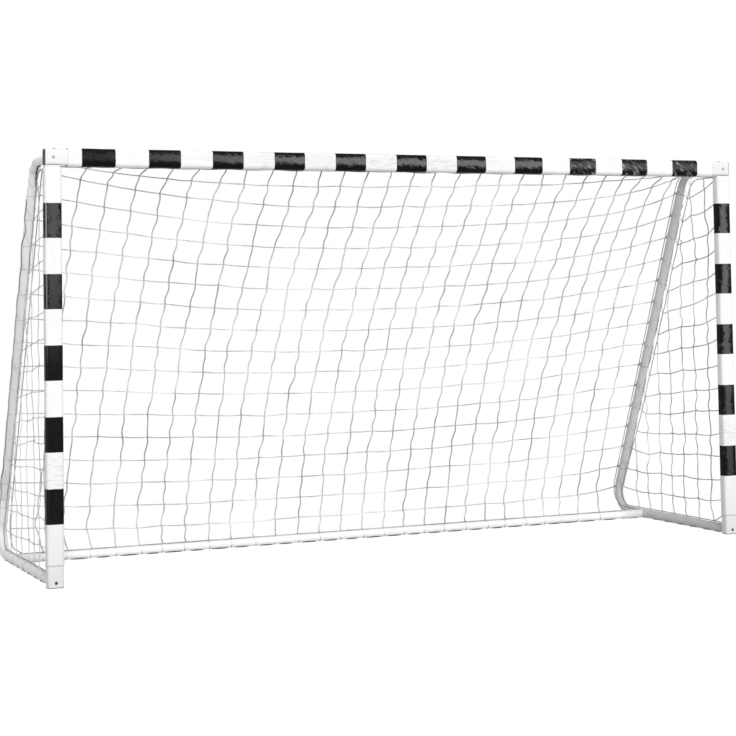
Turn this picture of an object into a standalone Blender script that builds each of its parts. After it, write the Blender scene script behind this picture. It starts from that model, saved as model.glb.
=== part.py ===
"""A portable soccer goal: steel tube frame, striped sleeves and a knotted net.

Units are metres. X runs to the right as seen from the front, Y runs to the rear and Z runs up.
The origin is on the ground, in the middle of the goal's width and depth.
"""

import bpy
import bmesh
from math import asin, atan2, cos, pi, sin, tan
from mathutils import Vector

# Overall size of the bare frame
GOAL_WIDTH = 3.000
GOAL_HEIGHT = 1.600
GOAL_DEPTH = 0.933
TOP_DEPTH = 0.297             # front face to the point where the elbow's two centre lines cross

# Clearance left between pieces that touch or slide into each other
FIT = 0.0003

# Flat-sided tube of the posts and the crossbar
FRONT_TUBE_WIDTH = 0.060
FRONT_TUBE_DEPTH = 0.040
FRONT_TUBE_CORNER = 0.010
FRONT_TUBE_WALL = 0.0012
FRONT_CORNER_STEPS = 4
CROSSBAR_SECTIONS = 3
SPIGOT_LENGTH = 0.160
SPIGOT_WALL = 0.0020

# Plastic caps in the open ends of the front tubes
CAP_FLANGE = 0.0012
CAP_PLUG_DEPTH = 0.012
CAP_PLUG_WALL = 0.0020

# Round tube of the side frames, and the smaller tube that plugs into it
SIDE_TUBE_DIAMETER = 0.038
SIDE_TUBE_WALL = 0.0020
PLUG_TUBE_WALL = 0.0012
PLUG_LENGTH = 0.080
SWAGE_TAPER = 0.006
ELBOW_BEND_RADIUS = 0.100
GROUND_BEND_RADIUS = 0.0885
ELBOW_SHOWING = 0.101         # along the slope, from the elbow's corner to the stay's mouth
STAY_JOINT_HEIGHT = 0.240
ROUND_SIDES = 24
BOLT_SIDES = 16
BEND_STEPS = 8
SMOOTH_ANGLE = 0.6            # radians between faces that still shade as one surface

# Rear bar on the ground
REAR_BAR_INSET = 0.233        # rearmost surface of the bends to the bar's centre line
REAR_SOCKET_LENGTH = 0.090
REAR_SOCKET_WALL = 0.0017
REAR_SOCKET_FLOOR = 0.0010
REAR_BAR_SECTIONS = 3
REAR_PLUG_LENGTH = 0.060

# Bolts and the threaded inserts that take them
BOLT_DIAMETER = 0.006
BOLT_HEAD_DIAMETER = 0.0115
BOLT_HEAD_HEIGHT = 0.0030
BOLT_SOCKET_WIDTH = 0.0040
BOLT_SOCKET_DEPTH = 0.0018
INSERT_LENGTH = 0.030
TOP_BOLT_OFFSET = 0.008       # inwards from the post's middle, clear of the corner bolt

# Padded sleeves around the front tubes
SLEEVE_WALL = 0.0032
CROSSBAR_SLEEVE_SETBACK = 0.085
POST_SLEEVE_BOTTOM = 0.080
POST_SLEEVE_TOP_GAP = 0.008
POST_SLEEVE_WALL = 0.0018

# Net, with a coarser mesh than the real one's 100 mm
NET_CORD = 0.0040
NET_BACK_COLUMNS = 20
NET_BACK_ROWS = 11
NET_SIDE_COLUMNS = 4
NET_SIDE_ROWS = 10
NET_FLAT_HALF_WIDTH = 1.000   # inside this the back net hangs straight to the rear bar
NET_CORNER_RADIUS = 0.080

# Names, and which side of the goal each stands on
PIECES = "soccer_goal"
CUTTERS = "cutters"
SIDES = {-1: "left", 1: "right"}
CROSSBAR_NAMES = ["left", "middle", "right"]
CROSSBAR_JOINT_NAMES = ["left", "right"]

# Turns that lay a piece modelled along Z along another axis
ALONG_X = (0, pi / 2, 0)
ALONG_Y = (pi / 2, 0, 0)
INTO_TUBE = (-pi / 2, 0, 0)

# Name, colour, roughness and metallic value of each kind of surface
WHITE_PAINT = ("white_paint", (0.82, 0.82, 0.82), 0.35, 0.0)
WHITE_VINYL = ("white_vinyl", (0.90, 0.90, 0.90), 0.30, 0.0)
BLACK_PLASTIC = ("black_plastic", (0.02, 0.02, 0.02), 0.50, 0.0)
GREY_PLASTIC = ("grey_plastic", (0.30, 0.30, 0.30), 0.60, 0.0)
ZINC_STEEL = ("zinc_steel", (0.60, 0.60, 0.62), 0.35, 1.0)
WHITE_NET = ("white_net", (0.80, 0.80, 0.78), 0.80, 0.0)

# Sizes worked out from the ones above
SIDE_RADIUS = SIDE_TUBE_DIAMETER / 2
PLUG_RADIUS = SIDE_RADIUS - SIDE_TUBE_WALL - FIT
BOLT_HOLE_DIAMETER = BOLT_DIAMETER + 2 * FIT
SLEEVE_PROUD = SLEEVE_WALL + FIT
FRONT_Y = -(GOAL_DEPTH - SLEEVE_PROUD) / 2
REAR_Y = FRONT_Y + GOAL_DEPTH
FRONT_MIDDLE_Y = FRONT_Y + FRONT_TUBE_DEPTH / 2
FRONT_BACK_Y = FRONT_Y + FRONT_TUBE_DEPTH
POST_X = (GOAL_WIDTH - FRONT_TUBE_WIDTH) / 2
CROSSBAR_Z = GOAL_HEIGHT - FRONT_TUBE_WIDTH / 2
POST_TOP_Z = GOAL_HEIGHT - FRONT_TUBE_WIDTH - FIT
POST_BOTTOM_Z = CAP_FLANGE + FIT
POST_JOINT_Z = (POST_TOP_Z + POST_BOTTOM_Z) / 2
CROSSBAR_HALF = GOAL_WIDTH / 2 - CAP_FLANGE - FIT
REAR_BAR_Y = REAR_Y - REAR_BAR_INSET
FOOT_PLUG_DEPTH = min(CAP_PLUG_DEPTH, SIDE_RADIUS - BOLT_HOLE_DIAMETER / 2 - POST_BOTTOM_Z - FIT)

# Centre lines of a side frame, in its own Y and Z plane
ELBOW_CORNER = Vector((0, FRONT_Y + TOP_DEPTH, CROSSBAR_Z))
BEND_CENTRE = Vector((0, REAR_Y - SIDE_RADIUS - GROUND_BEND_RADIUS, SIDE_RADIUS + GROUND_BEND_RADIUS))
CORNER_TO_CENTRE = BEND_CENTRE - ELBOW_CORNER
STAY_TILT = (atan2(CORNER_TO_CENTRE.y, -CORNER_TO_CENTRE.z)
             + asin(GROUND_BEND_RADIUS / CORNER_TO_CENTRE.length))
STAY_DOWN = Vector((0, sin(STAY_TILT), -cos(STAY_TILT)))


def point_on_stay(height):
    """The point of the stay's centre line at a height above the ground."""
    return ELBOW_CORNER + STAY_DOWN * ((ELBOW_CORNER.z - height) / cos(STAY_TILT))


def start_scene():
    """Empty the scene and make one collection for the pieces and one for the cutters."""
    for old in list(bpy.data.objects):
        bpy.data.objects.remove(old, do_unlink=True)
    for name in (PIECES, CUTTERS):
        bpy.context.scene.collection.children.link(bpy.data.collections.new(name))


def add_object(collection, name, data, parent, location=(0, 0, 0), rotation=(0, 0, 0)):
    """Link a new object and place it under its parent."""
    added = bpy.data.objects.new(name, data)
    bpy.data.collections[collection].objects.link(added)
    added.parent = parent
    added.location = location
    added.rotation_euler = rotation
    return added


def make_material(name, colour, roughness, metallic):
    """A Principled material of one colour."""
    material = bpy.data.materials.new(name)
    material.use_nodes = True
    shader = material.node_tree.nodes["Principled BSDF"]
    shader.inputs["Base Color"].default_value = (*colour, 1.0)
    shader.inputs["Roughness"].default_value = roughness
    shader.inputs["Metallic"].default_value = metallic
    return material


def place(name, mesh, look, parent, location=(0, 0, 0), rotation=(0, 0, 0)):
    """Add a mesh as a named piece, shaded smooth up to its sharp edges."""
    mesh.materials.append(make_material(f"{name}_{look[0]}", *look[1:]))
    mesh.shade_smooth()
    mesh.set_sharp_from_angle(angle=SMOOTH_ANGLE)
    return add_object(PIECES, name, mesh, parent, location, rotation)


def mesh_from(bm, name):
    """Write a bmesh to a new mesh and free it."""
    mesh = bpy.data.meshes.new(name)
    bm.to_mesh(mesh)
    bm.free()
    return mesh


def rounded_box(name, width, depth, length, corner, open_ends=False):
    """A bar along Z of rounded rectangular section, standing on Z = 0."""
    bm = bmesh.new()
    bmesh.ops.create_cube(bm, size=1.0)
    bmesh.ops.translate(bm, verts=bm.verts, vec=(0, 0, 0.5))
    bmesh.ops.scale(bm, verts=bm.verts, vec=(width, depth, length))
    if open_ends:
        ends = [face for face in bm.faces if abs(face.normal.z) > 0.5]
        bmesh.ops.delete(bm, geom=ends, context="FACES_ONLY")
    upright = [edge for edge in bm.edges
               if abs(edge.verts[0].co.z - edge.verts[1].co.z) > length / 2]
    bmesh.ops.bevel(bm, geom=upright, offset=corner, segments=FRONT_CORNER_STEPS,
                    profile=0.5, affect="EDGES")
    return mesh_from(bm, name)


def add_solidify(piece, wall):
    """Give an open skin a wall on its inner side."""
    solidify = piece.modifiers.new("wall", "SOLIDIFY")
    solidify.thickness = wall
    solidify.offset = -1.0
    solidify.use_even_offset = True


def add_boolean(piece, other, operation):
    """Cut a piece by another object, or join the other object to it."""
    boolean = piece.modifiers.new(operation.lower(), "BOOLEAN")
    boolean.operation = operation
    boolean.solver = "EXACT"
    boolean.object = other


def make_cutter(name, mesh, parent, location=(0, 0, 0), rotation=(0, 0, 0)):
    """A helper shape that is not a piece of the goal."""
    cutter = add_object(CUTTERS, name, mesh, parent, location, rotation)
    cutter.hide_render = True
    cutter.display_type = "WIRE"
    return cutter


def cylinder(name, diameter, length, sides=ROUND_SIDES):
    """A solid cylinder along Z, centred on the origin."""
    bm = bmesh.new()
    bmesh.ops.create_cone(bm, cap_ends=True, segments=sides, radius1=diameter / 2,
                          radius2=diameter / 2, depth=length)
    return mesh_from(bm, name)


def drill(piece, parent, location, rotation, length):
    """Cut a bolt hole through a piece."""
    hole = cylinder(f"{piece.name}_hole", BOLT_HOLE_DIAMETER, length, BOLT_SIDES)
    add_boolean(piece, make_cutter(f"{piece.name}_hole", hole, parent, location, rotation), "DIFFERENCE")


def flat_tube(name, parent, location, rotation, length, wall=FRONT_TUBE_WALL, inset=0.0, look=None):
    """A length of the front tube, or of a tube whose outside lies inset from it."""
    mesh = rounded_box(name, FRONT_TUBE_WIDTH - 2 * inset, FRONT_TUBE_DEPTH - 2 * inset, length,
                       FRONT_TUBE_CORNER - inset, open_ends=True)
    piece = place(name, mesh, look or WHITE_PAINT, parent, location, rotation)
    add_solidify(piece, wall)
    return piece


def turned(name, profile, closed, look, parent, location=(0, 0, 0), rotation=(0, 0, 0), sides=ROUND_SIDES):
    """Turn a profile of (radius, height) points around Z, its outer side listed top to bottom."""
    bm = bmesh.new()
    points = [bm.verts.new((radius, 0, height)) for radius, height in profile]
    for first, second in zip(points, points[1:]):
        bm.edges.new((first, second))
    if closed:
        bm.edges.new((points[-1], points[0]))
    piece = place(name, mesh_from(bm, name), look, parent, location, rotation)
    screw = piece.modifiers.new("turn", "SCREW")
    screw.axis = "Z"
    screw.angle = 2 * pi
    screw.steps = sides
    screw.render_steps = sides
    screw.use_merge_vertices = True
    screw.merge_threshold = 0.00001
    screw.use_smooth_shade = True
    return piece


def tube_profile(outer, wall):
    """The closed profile of a tube whose outer points are given top to bottom."""
    inner = [(radius - wall, height) for radius, height in reversed(outer)]
    return outer + inner


def bent_route(start, corner, end, radius):
    """A centre line with one bend: straight, arc, straight."""
    back = (start - corner).normalized()
    ahead = (end - corner).normalized()
    half_angle = back.angle(ahead) / 2
    centre = corner + (back + ahead).normalized() * (radius / sin(half_angle))
    from_centre = corner + back * (radius / tan(half_angle)) - centre
    to_centre = corner + ahead * (radius / tan(half_angle)) - centre
    turn = pi - 2 * half_angle
    arc = []
    for step in range(BEND_STEPS + 1):
        swept = turn * step / BEND_STEPS
        offset = from_centre * sin(turn - swept) + to_centre * sin(swept)
        arc.append(centre + offset / sin(turn))
    return [start, *arc, end]


def bent_tube(name, route, radius, wall, parent):
    """A hollow round tube along a route, its two ends open."""
    curve = bpy.data.curves.new(f"{name}_route", "CURVE")
    curve.dimensions = "3D"
    curve.bevel_depth = radius
    curve.bevel_resolution = ROUND_SIDES // 2 - 2
    curve.render_resolution_u = 0
    spline = curve.splines.new("POLY")
    spline.points.add(len(route) - 1)
    for spline_point, place_on_route in zip(spline.points, route):
        spline_point.co = (*place_on_route, 1.0)
    guide = add_object(CUTTERS, f"{name}_route", curve, None)
    evaluated = guide.evaluated_get(bpy.context.evaluated_depsgraph_get())
    mesh = bpy.data.meshes.new_from_object(evaluated)
    bpy.data.objects.remove(guide, do_unlink=True)
    bm = bmesh.new()
    bm.from_mesh(mesh)
    bmesh.ops.remove_doubles(bm, verts=bm.verts, dist=0.00001)
    bm.to_mesh(mesh)
    bm.free()
    piece = place(name, mesh, WHITE_PAINT, parent)
    add_solidify(piece, wall)
    return piece


def end_cap(name, parent, location, rotation, plug_depth):
    """A cap with a thin flange and a hollow plug that points along +Z."""
    bm = bmesh.new()
    bm.from_mesh(rounded_box(name, FRONT_TUBE_WIDTH, FRONT_TUBE_DEPTH, CAP_FLANGE, FRONT_TUBE_CORNER))
    top = max(bm.faces, key=lambda face: face.normal.z)
    bmesh.ops.inset_individual(bm, faces=[top], thickness=FRONT_TUBE_WALL + FIT)
    raised = bmesh.ops.extrude_face_region(bm, geom=[top])
    bmesh.ops.delete(bm, geom=[top], context="FACES")
    bmesh.ops.translate(bm, verts=[v for v in raised["geom"] if isinstance(v, bmesh.types.BMVert)],
                        vec=(0, 0, plug_depth))
    rim = [face for face in raised["geom"] if isinstance(face, bmesh.types.BMFace)][0]
    bmesh.ops.inset_individual(bm, faces=[rim], thickness=CAP_PLUG_WALL)
    sunk = bmesh.ops.extrude_face_region(bm, geom=[rim])
    bmesh.ops.delete(bm, geom=[rim], context="FACES")
    bmesh.ops.translate(bm, verts=[v for v in sunk["geom"] if isinstance(v, bmesh.types.BMVert)],
                        vec=(0, 0, -plug_depth))
    return place(name, mesh_from(bm, name), BLACK_PLASTIC, parent, location, rotation)


def bolt(name, parent, location, rotation, length):
    """A button head bolt: the head stands on Z = 0 and the shank runs down."""
    head = BOLT_HEAD_DIAMETER / 2
    shank = BOLT_DIAMETER / 2
    profile = [
        (0, FIT + BOLT_HEAD_HEIGHT),
        (head * 0.6, FIT + BOLT_HEAD_HEIGHT),
        (head * 0.9, FIT + BOLT_HEAD_HEIGHT * 0.6),
        (head, FIT),
        (shank, FIT),
        (shank, -length),
        (0, -length),
    ]
    piece = turned(name, profile, False, ZINC_STEEL, parent, location, rotation, BOLT_SIDES)
    socket = cylinder(f"{name}_socket", BOLT_SOCKET_WIDTH, 2 * BOLT_SOCKET_DEPTH, 6)
    drive = make_cutter(f"{name}_socket", socket, piece, (0, 0, FIT + BOLT_HEAD_HEIGHT))
    add_boolean(piece, drive, "DIFFERENCE")


def build_crossbar(front):
    """Crossbar sections, their spigots and the two end caps."""
    section = 2 * CROSSBAR_HALF / CROSSBAR_SECTIONS
    for index, side_name in enumerate(CROSSBAR_NAMES):
        start = -CROSSBAR_HALF + index * section
        gap_before = 0 if index == 0 else FIT / 2
        gap_after = 0 if index == CROSSBAR_SECTIONS - 1 else FIT / 2
        tube = flat_tube(f"crossbar_{side_name}", front, (start + gap_before, 0, CROSSBAR_Z), ALONG_X,
                         section - gap_before - gap_after)
        for side in SIDES:
            if start < side * POST_X < start + section:
                drill(tube, front, (side * POST_X, 0, CROSSBAR_Z), ALONG_Y, 2 * FRONT_TUBE_DEPTH)
                top_bolt_x = side * (POST_X - TOP_BOLT_OFFSET)
                drill(tube, front, (top_bolt_x, 0, CROSSBAR_Z), (0, 0, 0), 2 * FRONT_TUBE_WIDTH)
    for index in range(1, CROSSBAR_SECTIONS):
        middle = -CROSSBAR_HALF + index * section
        flat_tube(f"crossbar_joint_{CROSSBAR_JOINT_NAMES[index - 1]}", front,
                  (middle - SPIGOT_LENGTH / 2, 0, CROSSBAR_Z), ALONG_X, SPIGOT_LENGTH,
                  SPIGOT_WALL, FRONT_TUBE_WALL + FIT, GREY_PLASTIC)
    for side, side_name in SIDES.items():
        turn = (0, -side * pi / 2, 0)
        end_cap(f"crossbar_end_cap_{side_name}", front, (side * GOAL_WIDTH / 2, 0, CROSSBAR_Z), turn,
                CAP_PLUG_DEPTH)


def build_post(front, side, side_name):
    """One post with its spigot, top insert, foot cap and bolts."""
    x = side * POST_X
    lower = flat_tube(f"post_lower_{side_name}", front, (x, 0, POST_BOTTOM_Z), (0, 0, 0),
                      POST_JOINT_Z - POST_BOTTOM_Z - FIT / 2)
    drill(lower, front, (x, 0, SIDE_RADIUS), ALONG_Y, 2 * FRONT_TUBE_DEPTH)
    flat_tube(f"post_upper_{side_name}", front, (x, 0, POST_JOINT_Z + FIT / 2), (0, 0, 0),
              POST_TOP_Z - POST_JOINT_Z - FIT / 2)
    inset = FRONT_TUBE_WALL + FIT
    flat_tube(f"post_joint_{side_name}", front, (x, 0, POST_JOINT_Z - SPIGOT_LENGTH / 2), (0, 0, 0),
              SPIGOT_LENGTH, SPIGOT_WALL, inset, GREY_PLASTIC)
    block = rounded_box(f"post_top_insert_{side_name}", FRONT_TUBE_WIDTH - 2 * inset,
                        FRONT_TUBE_DEPTH - 2 * inset, INSERT_LENGTH, FRONT_TUBE_CORNER - inset)
    insert = place(f"post_top_insert_{side_name}", block, GREY_PLASTIC, front,
                   (x, 0, POST_TOP_Z - INSERT_LENGTH))
    top_bolt_x = side * (POST_X - TOP_BOLT_OFFSET)
    drill(insert, front, (top_bolt_x, 0, POST_TOP_Z), (0, 0, 0), 3 * INSERT_LENGTH)
    end_cap(f"post_foot_cap_{side_name}", front, (x, 0, 0), (0, 0, 0), FOOT_PLUG_DEPTH)
    bolt(f"top_bolt_{side_name}", front, (top_bolt_x, 0, GOAL_HEIGHT), (0, 0, 0),
         FRONT_TUBE_WIDTH + INSERT_LENGTH)
    bolt_reach = FRONT_TUBE_DEPTH + INSERT_LENGTH
    bolt(f"corner_bolt_{side_name}", front, (x, -FRONT_TUBE_DEPTH / 2, CROSSBAR_Z), ALONG_Y, bolt_reach)
    bolt(f"foot_bolt_{side_name}", front, (x, -FRONT_TUBE_DEPTH / 2, SIDE_RADIUS), ALONG_Y, bolt_reach)


def sleeve(name, parent, location, rotation, length, wall):
    """A padded cover wrapped around a front tube."""
    flat_tube(name, parent, location, rotation, length, wall, -FIT - wall, WHITE_VINYL)


def build_sleeves(front):
    """The crossbar's sleeve and the two post sleeves."""
    half = GOAL_WIDTH / 2 - CROSSBAR_SLEEVE_SETBACK
    sleeve("crossbar_sleeve", front, (-half, 0, CROSSBAR_Z), ALONG_X, 2 * half, SLEEVE_WALL)
    for side, side_name in SIDES.items():
        sleeve(f"post_sleeve_{side_name}", front, (side * POST_X, 0, POST_SLEEVE_BOTTOM), (0, 0, 0),
               POST_TOP_Z - POST_SLEEVE_TOP_GAP - POST_SLEEVE_BOTTOM, POST_SLEEVE_WALL)


def threaded_insert(name, parent, height, radius):
    """A round plug with a bore for a bolt, in the front end of a side tube."""
    profile = tube_profile([(radius, INSERT_LENGTH), (radius, 0)], radius - BOLT_HOLE_DIAMETER / 2)
    turned(name, profile, True, ZINC_STEEL, parent, (0, FRONT_BACK_Y + FIT, height), INTO_TUBE)


def build_ground_tube(parent, side, side_name):
    """Ground tube with its rear bend and the welded socket for the rear bar."""
    mouth = point_on_stay(STAY_JOINT_HEIGHT)
    corner = point_on_stay(SIDE_RADIUS)
    start = Vector((0, FRONT_BACK_Y + FIT, SIDE_RADIUS))
    route = bent_route(start, corner, mouth, GROUND_BEND_RADIUS)
    tube = bent_tube(f"ground_tube_{side_name}", route, SIDE_RADIUS, SIDE_TUBE_WALL, parent)
    reach = SIDE_RADIUS + REAR_SOCKET_LENGTH
    bore_radius = PLUG_RADIUS + FIT
    socket_mesh = cylinder("socket", 2 * (bore_radius + REAR_SOCKET_WALL), reach)
    socket = make_cutter(f"rear_socket_{side_name}", socket_mesh, parent,
                         (-side * reach / 2, REAR_BAR_Y, SIDE_RADIUS), ALONG_X)
    bore_mesh = cylinder("bore", 2 * bore_radius, 2 * REAR_SOCKET_LENGTH)
    bore_middle = SIDE_RADIUS + REAR_SOCKET_FLOOR + REAR_SOCKET_LENGTH
    bore = make_cutter(f"rear_socket_bore_{side_name}", bore_mesh, parent,
                       (-side * bore_middle, REAR_BAR_Y, SIDE_RADIUS), ALONG_X)
    inside_mesh = cylinder("inside", SIDE_TUBE_DIAMETER - SIDE_TUBE_WALL, 4 * SIDE_TUBE_DIAMETER)
    inside = make_cutter(f"ground_tube_inside_{side_name}", inside_mesh, parent,
                         (0, REAR_BAR_Y, SIDE_RADIUS), ALONG_Y)
    add_boolean(socket, inside, "DIFFERENCE")
    add_boolean(socket, bore, "DIFFERENCE")
    add_boolean(tube, socket, "UNION")


def build_side_frame(parent, side, side_name):
    """Elbow, stay and ground tube of one side, with their inserts."""
    elbow_start = Vector((0, FRONT_BACK_Y + FIT, CROSSBAR_Z))
    elbow_end = ELBOW_CORNER + STAY_DOWN * (ELBOW_SHOWING + PLUG_LENGTH)
    elbow_route = bent_route(elbow_start, ELBOW_CORNER, elbow_end, ELBOW_BEND_RADIUS)
    bent_tube(f"elbow_{side_name}", elbow_route, PLUG_RADIUS, PLUG_TUBE_WALL, parent)
    threaded_insert(f"elbow_insert_{side_name}", parent, CROSSBAR_Z, PLUG_RADIUS - PLUG_TUBE_WALL - FIT)
    joint = point_on_stay(STAY_JOINT_HEIGHT)
    stay_length = (ELBOW_CORNER - joint).length - ELBOW_SHOWING
    outer = [
        (SIDE_RADIUS, stay_length),
        (SIDE_RADIUS, SWAGE_TAPER + FIT),
        (PLUG_RADIUS, FIT),
        (PLUG_RADIUS, -PLUG_LENGTH),
    ]
    turned(f"stay_{side_name}", tube_profile(outer, SIDE_TUBE_WALL), True, WHITE_PAINT, parent,
           joint, (STAY_TILT, 0, 0))
    build_ground_tube(parent, side, side_name)
    threaded_insert(f"ground_tube_insert_{side_name}", parent, SIDE_RADIUS,
                    SIDE_RADIUS - SIDE_TUBE_WALL - FIT)


def build_rear_bar(goal):
    """Rear bar sections: the middle one has a reduced plug at each end."""
    half = POST_X - SIDE_RADIUS - REAR_SOCKET_FLOOR - FIT
    section = 2 * half / REAR_BAR_SECTIONS
    swaged = PLUG_RADIUS - PLUG_TUBE_WALL - FIT
    shoulder = section / 2 - SWAGE_TAPER - FIT
    middle = [
        (swaged, section / 2 + REAR_PLUG_LENGTH),
        (swaged, section / 2 - FIT),
        (PLUG_RADIUS, shoulder),
        (PLUG_RADIUS, -shoulder),
        (swaged, FIT - section / 2),
        (swaged, -section / 2 - REAR_PLUG_LENGTH),
    ]
    turned("rear_bar_middle", tube_profile(middle, PLUG_TUBE_WALL), True, WHITE_PAINT, goal,
           (0, REAR_BAR_Y, SIDE_RADIUS), ALONG_X)
    for side, side_name in SIDES.items():
        plain = [(PLUG_RADIUS, section / 2), (PLUG_RADIUS, -section / 2)]
        turned(f"rear_bar_{side_name}", tube_profile(plain, PLUG_TUBE_WALL), True, WHITE_PAINT, goal,
               (side * section, REAR_BAR_Y, SIDE_RADIUS), ALONG_X)


def net_panel(name, columns, rows, surface, parent):
    """A net whose knots lie on surface(across, down), both from 0 to 1."""
    bm = bmesh.new()
    bmesh.ops.create_grid(bm, x_segments=columns, y_segments=rows, size=0.5)
    for knot in bm.verts:
        knot.co = surface(knot.co.x + 0.5, knot.co.y + 0.5)
    piece = place(name, mesh_from(bm, name), WHITE_NET, parent)
    wires = piece.modifiers.new("cords", "WIREFRAME")
    wires.thickness = NET_CORD
    wires.use_boundary = True
    wires.use_replace = True
    wires.use_even_offset = True
    wires.use_relative_offset = False


def along(points, share):
    """The point at a share of a polyline's length."""
    lengths = [(second - first).length for first, second in zip(points, points[1:])]
    left = share * sum(lengths)
    for first, second, length in zip(points, points[1:], lengths):
        if left <= length:
            return first.lerp(second, left / length)
        left -= length
    return points[-1].copy()


def build_net(goal):
    """Back net and two side nets, laid 0.3 mm off the tubes that carry them."""
    seat = FIT + NET_CORD / 2
    top_y = FRONT_BACK_Y + SLEEVE_PROUD + seat
    top_z = GOAL_HEIGHT - FRONT_TUBE_WIDTH + NET_CORD
    low_z = SIDE_TUBE_DIAMETER + seat
    low_corner = point_on_stay(low_z)
    half = POST_X - SIDE_RADIUS - seat
    start = Vector((0, top_y, CROSSBAR_Z))
    end = Vector((0, REAR_BAR_Y, low_z))
    upper = bent_route(start, ELBOW_CORNER, point_on_stay(GOAL_HEIGHT / 2), ELBOW_BEND_RADIUS)
    lower = bent_route(point_on_stay(GOAL_HEIGHT / 2), low_corner, end, NET_CORNER_RADIUS)
    side_route = upper + lower[1:]

    def back_surface(across, down):
        x = (2 * across - 1) * half
        beyond = max(0.0, abs(x) - NET_FLAT_HALF_WIDTH) / (half - NET_FLAT_HALF_WIDTH)
        middle = Vector((0, top_y, top_z)).lerp(end, down)
        knot = middle.lerp(along(side_route, down), beyond ** 2)
        return Vector((x, knot.y, knot.z))

    net_panel("net_back", NET_BACK_COLUMNS, NET_BACK_ROWS, back_surface, goal)

    inner_elbow = CROSSBAR_Z - PLUG_RADIUS - seat
    front_y = FRONT_BACK_Y + SLEEVE_PROUD + seat
    off_stay = Vector((0, (SIDE_RADIUS + seat) / cos(STAY_TILT), 0))
    over_ground = low_corner - off_stay
    under_elbow = point_on_stay(inner_elbow) - off_stay
    middle = point_on_stay(GOAL_HEIGHT / 2) - off_stay
    corner_top = bent_route(Vector((0, front_y, inner_elbow)), under_elbow, middle, NET_CORNER_RADIUS)
    corner_low = bent_route(middle, over_ground, Vector((0, front_y, low_z)), NET_CORNER_RADIUS)
    bend_middle = 1 + BEND_STEPS // 2
    top_edge = corner_top[:bend_middle + 1]
    rear_edge = corner_top[bend_middle:] + corner_low[1:bend_middle + 1]
    low_edge = list(reversed(corner_low[bend_middle:]))
    front_edge = [top_edge[0], low_edge[0]]

    def side_surface(across, down):
        edges = (along(top_edge, across) * (1 - down) + along(low_edge, across) * down
                 + along(front_edge, down) * (1 - across) + along(rear_edge, down) * across)
        corners = (top_edge[0].lerp(top_edge[-1], across) * (1 - down)
                   + low_edge[0].lerp(low_edge[-1], across) * down)
        return edges - corners

    for side, side_name in SIDES.items():
        carrier = add_object(PIECES, f"net_carrier_{side_name}", None, goal, (side * POST_X, 0, 0))
        net_panel(f"net_side_{side_name}", NET_SIDE_COLUMNS, NET_SIDE_ROWS, side_surface, carrier)



def main():
    """Build the whole goal."""
    start_scene()
    goal = add_object(PIECES, "goal", None, None)
    front = add_object(PIECES, "front_frame", None, goal, (0, FRONT_MIDDLE_Y, 0))
    build_crossbar(front)
    build_sleeves(front)
    for side, side_name in SIDES.items():
        build_post(front, side, side_name)
        side_frame = add_object(PIECES, f"side_frame_{side_name}", None, goal, (side * POST_X, 0, 0))
        build_side_frame(side_frame, side, side_name)
    build_rear_bar(goal)
    build_net(goal)


main()
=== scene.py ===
"""Soccer goal with striped sleeves and a knotted net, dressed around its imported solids."""

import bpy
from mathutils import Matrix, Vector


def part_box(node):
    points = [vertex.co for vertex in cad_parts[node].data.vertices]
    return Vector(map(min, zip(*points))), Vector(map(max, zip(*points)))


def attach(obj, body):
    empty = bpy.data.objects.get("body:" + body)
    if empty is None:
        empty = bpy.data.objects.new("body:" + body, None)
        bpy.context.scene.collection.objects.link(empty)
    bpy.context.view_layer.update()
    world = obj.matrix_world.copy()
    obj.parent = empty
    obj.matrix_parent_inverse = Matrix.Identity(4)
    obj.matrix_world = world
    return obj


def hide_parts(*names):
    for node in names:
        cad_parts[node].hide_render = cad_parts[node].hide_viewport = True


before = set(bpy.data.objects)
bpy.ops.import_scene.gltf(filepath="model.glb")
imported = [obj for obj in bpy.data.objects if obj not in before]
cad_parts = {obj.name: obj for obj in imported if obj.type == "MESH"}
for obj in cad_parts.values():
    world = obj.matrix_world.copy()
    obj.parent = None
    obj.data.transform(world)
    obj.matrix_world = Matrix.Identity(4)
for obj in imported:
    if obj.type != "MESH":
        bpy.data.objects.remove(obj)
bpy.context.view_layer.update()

import random
from math import acos, asin, atan2, cos, exp, pi, radians, sin, tan

import bmesh
import bpy
from mathutils import Matrix, Vector, noise

bl_info = {
    "name": "Soccer goal",
    "version": (1, 0, 0),
    "blender": (4, 5, 0),
    "location": "3D View > Sidebar > Goal",
    "description": "Tubes, sleeves, fasteners and net of a training goal",
    "category": "Object",
}

ROOT = "root"
SIDES = {-1: "left", 1: "right"}

# Clearance between pieces, what counts as one place, broken edges, and a height halfway up a stay
FIT = 0.0003
SAME_PLACE = 0.000002
SMALL_EDGE = 0.0003
TUBE_EDGE = 0.0004
HALFWAY_Z = 0.8


def middle(node):
    """Middle of a CAD node's box."""
    low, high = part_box(node)
    return (low + high) / 2


def extent(node):
    """Size of a CAD node's box."""
    low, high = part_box(node)
    return high - low


# Places read from the frame
FRONT_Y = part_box("crossbar_left")[0].y
FRONT_BACK_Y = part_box("crossbar_left")[1].y
CROSSBAR_Z = middle("crossbar_left").z
POST_X = middle("post_lower_right").x
REAR_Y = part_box("ground_tube_left")[1].y
SIDE_RADIUS = extent("stay_left").x / 2
PLUG_RADIUS = extent("rear_bar_left").z / 2
REAR_BAR_Y = middle("rear_bar_middle").y
SLEEVE_BACK_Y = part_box("crossbar_sleeve")[1].y
FRONT_FACE = extent("crossbar_left").z


def setting(kind, **fixed):
    """A maker of settings of one kind, each with its name, description and default."""
    def make(name, description, default, **limits):
        return kind(name=name, description=description, default=default, **fixed, **limits)
    return make


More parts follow.
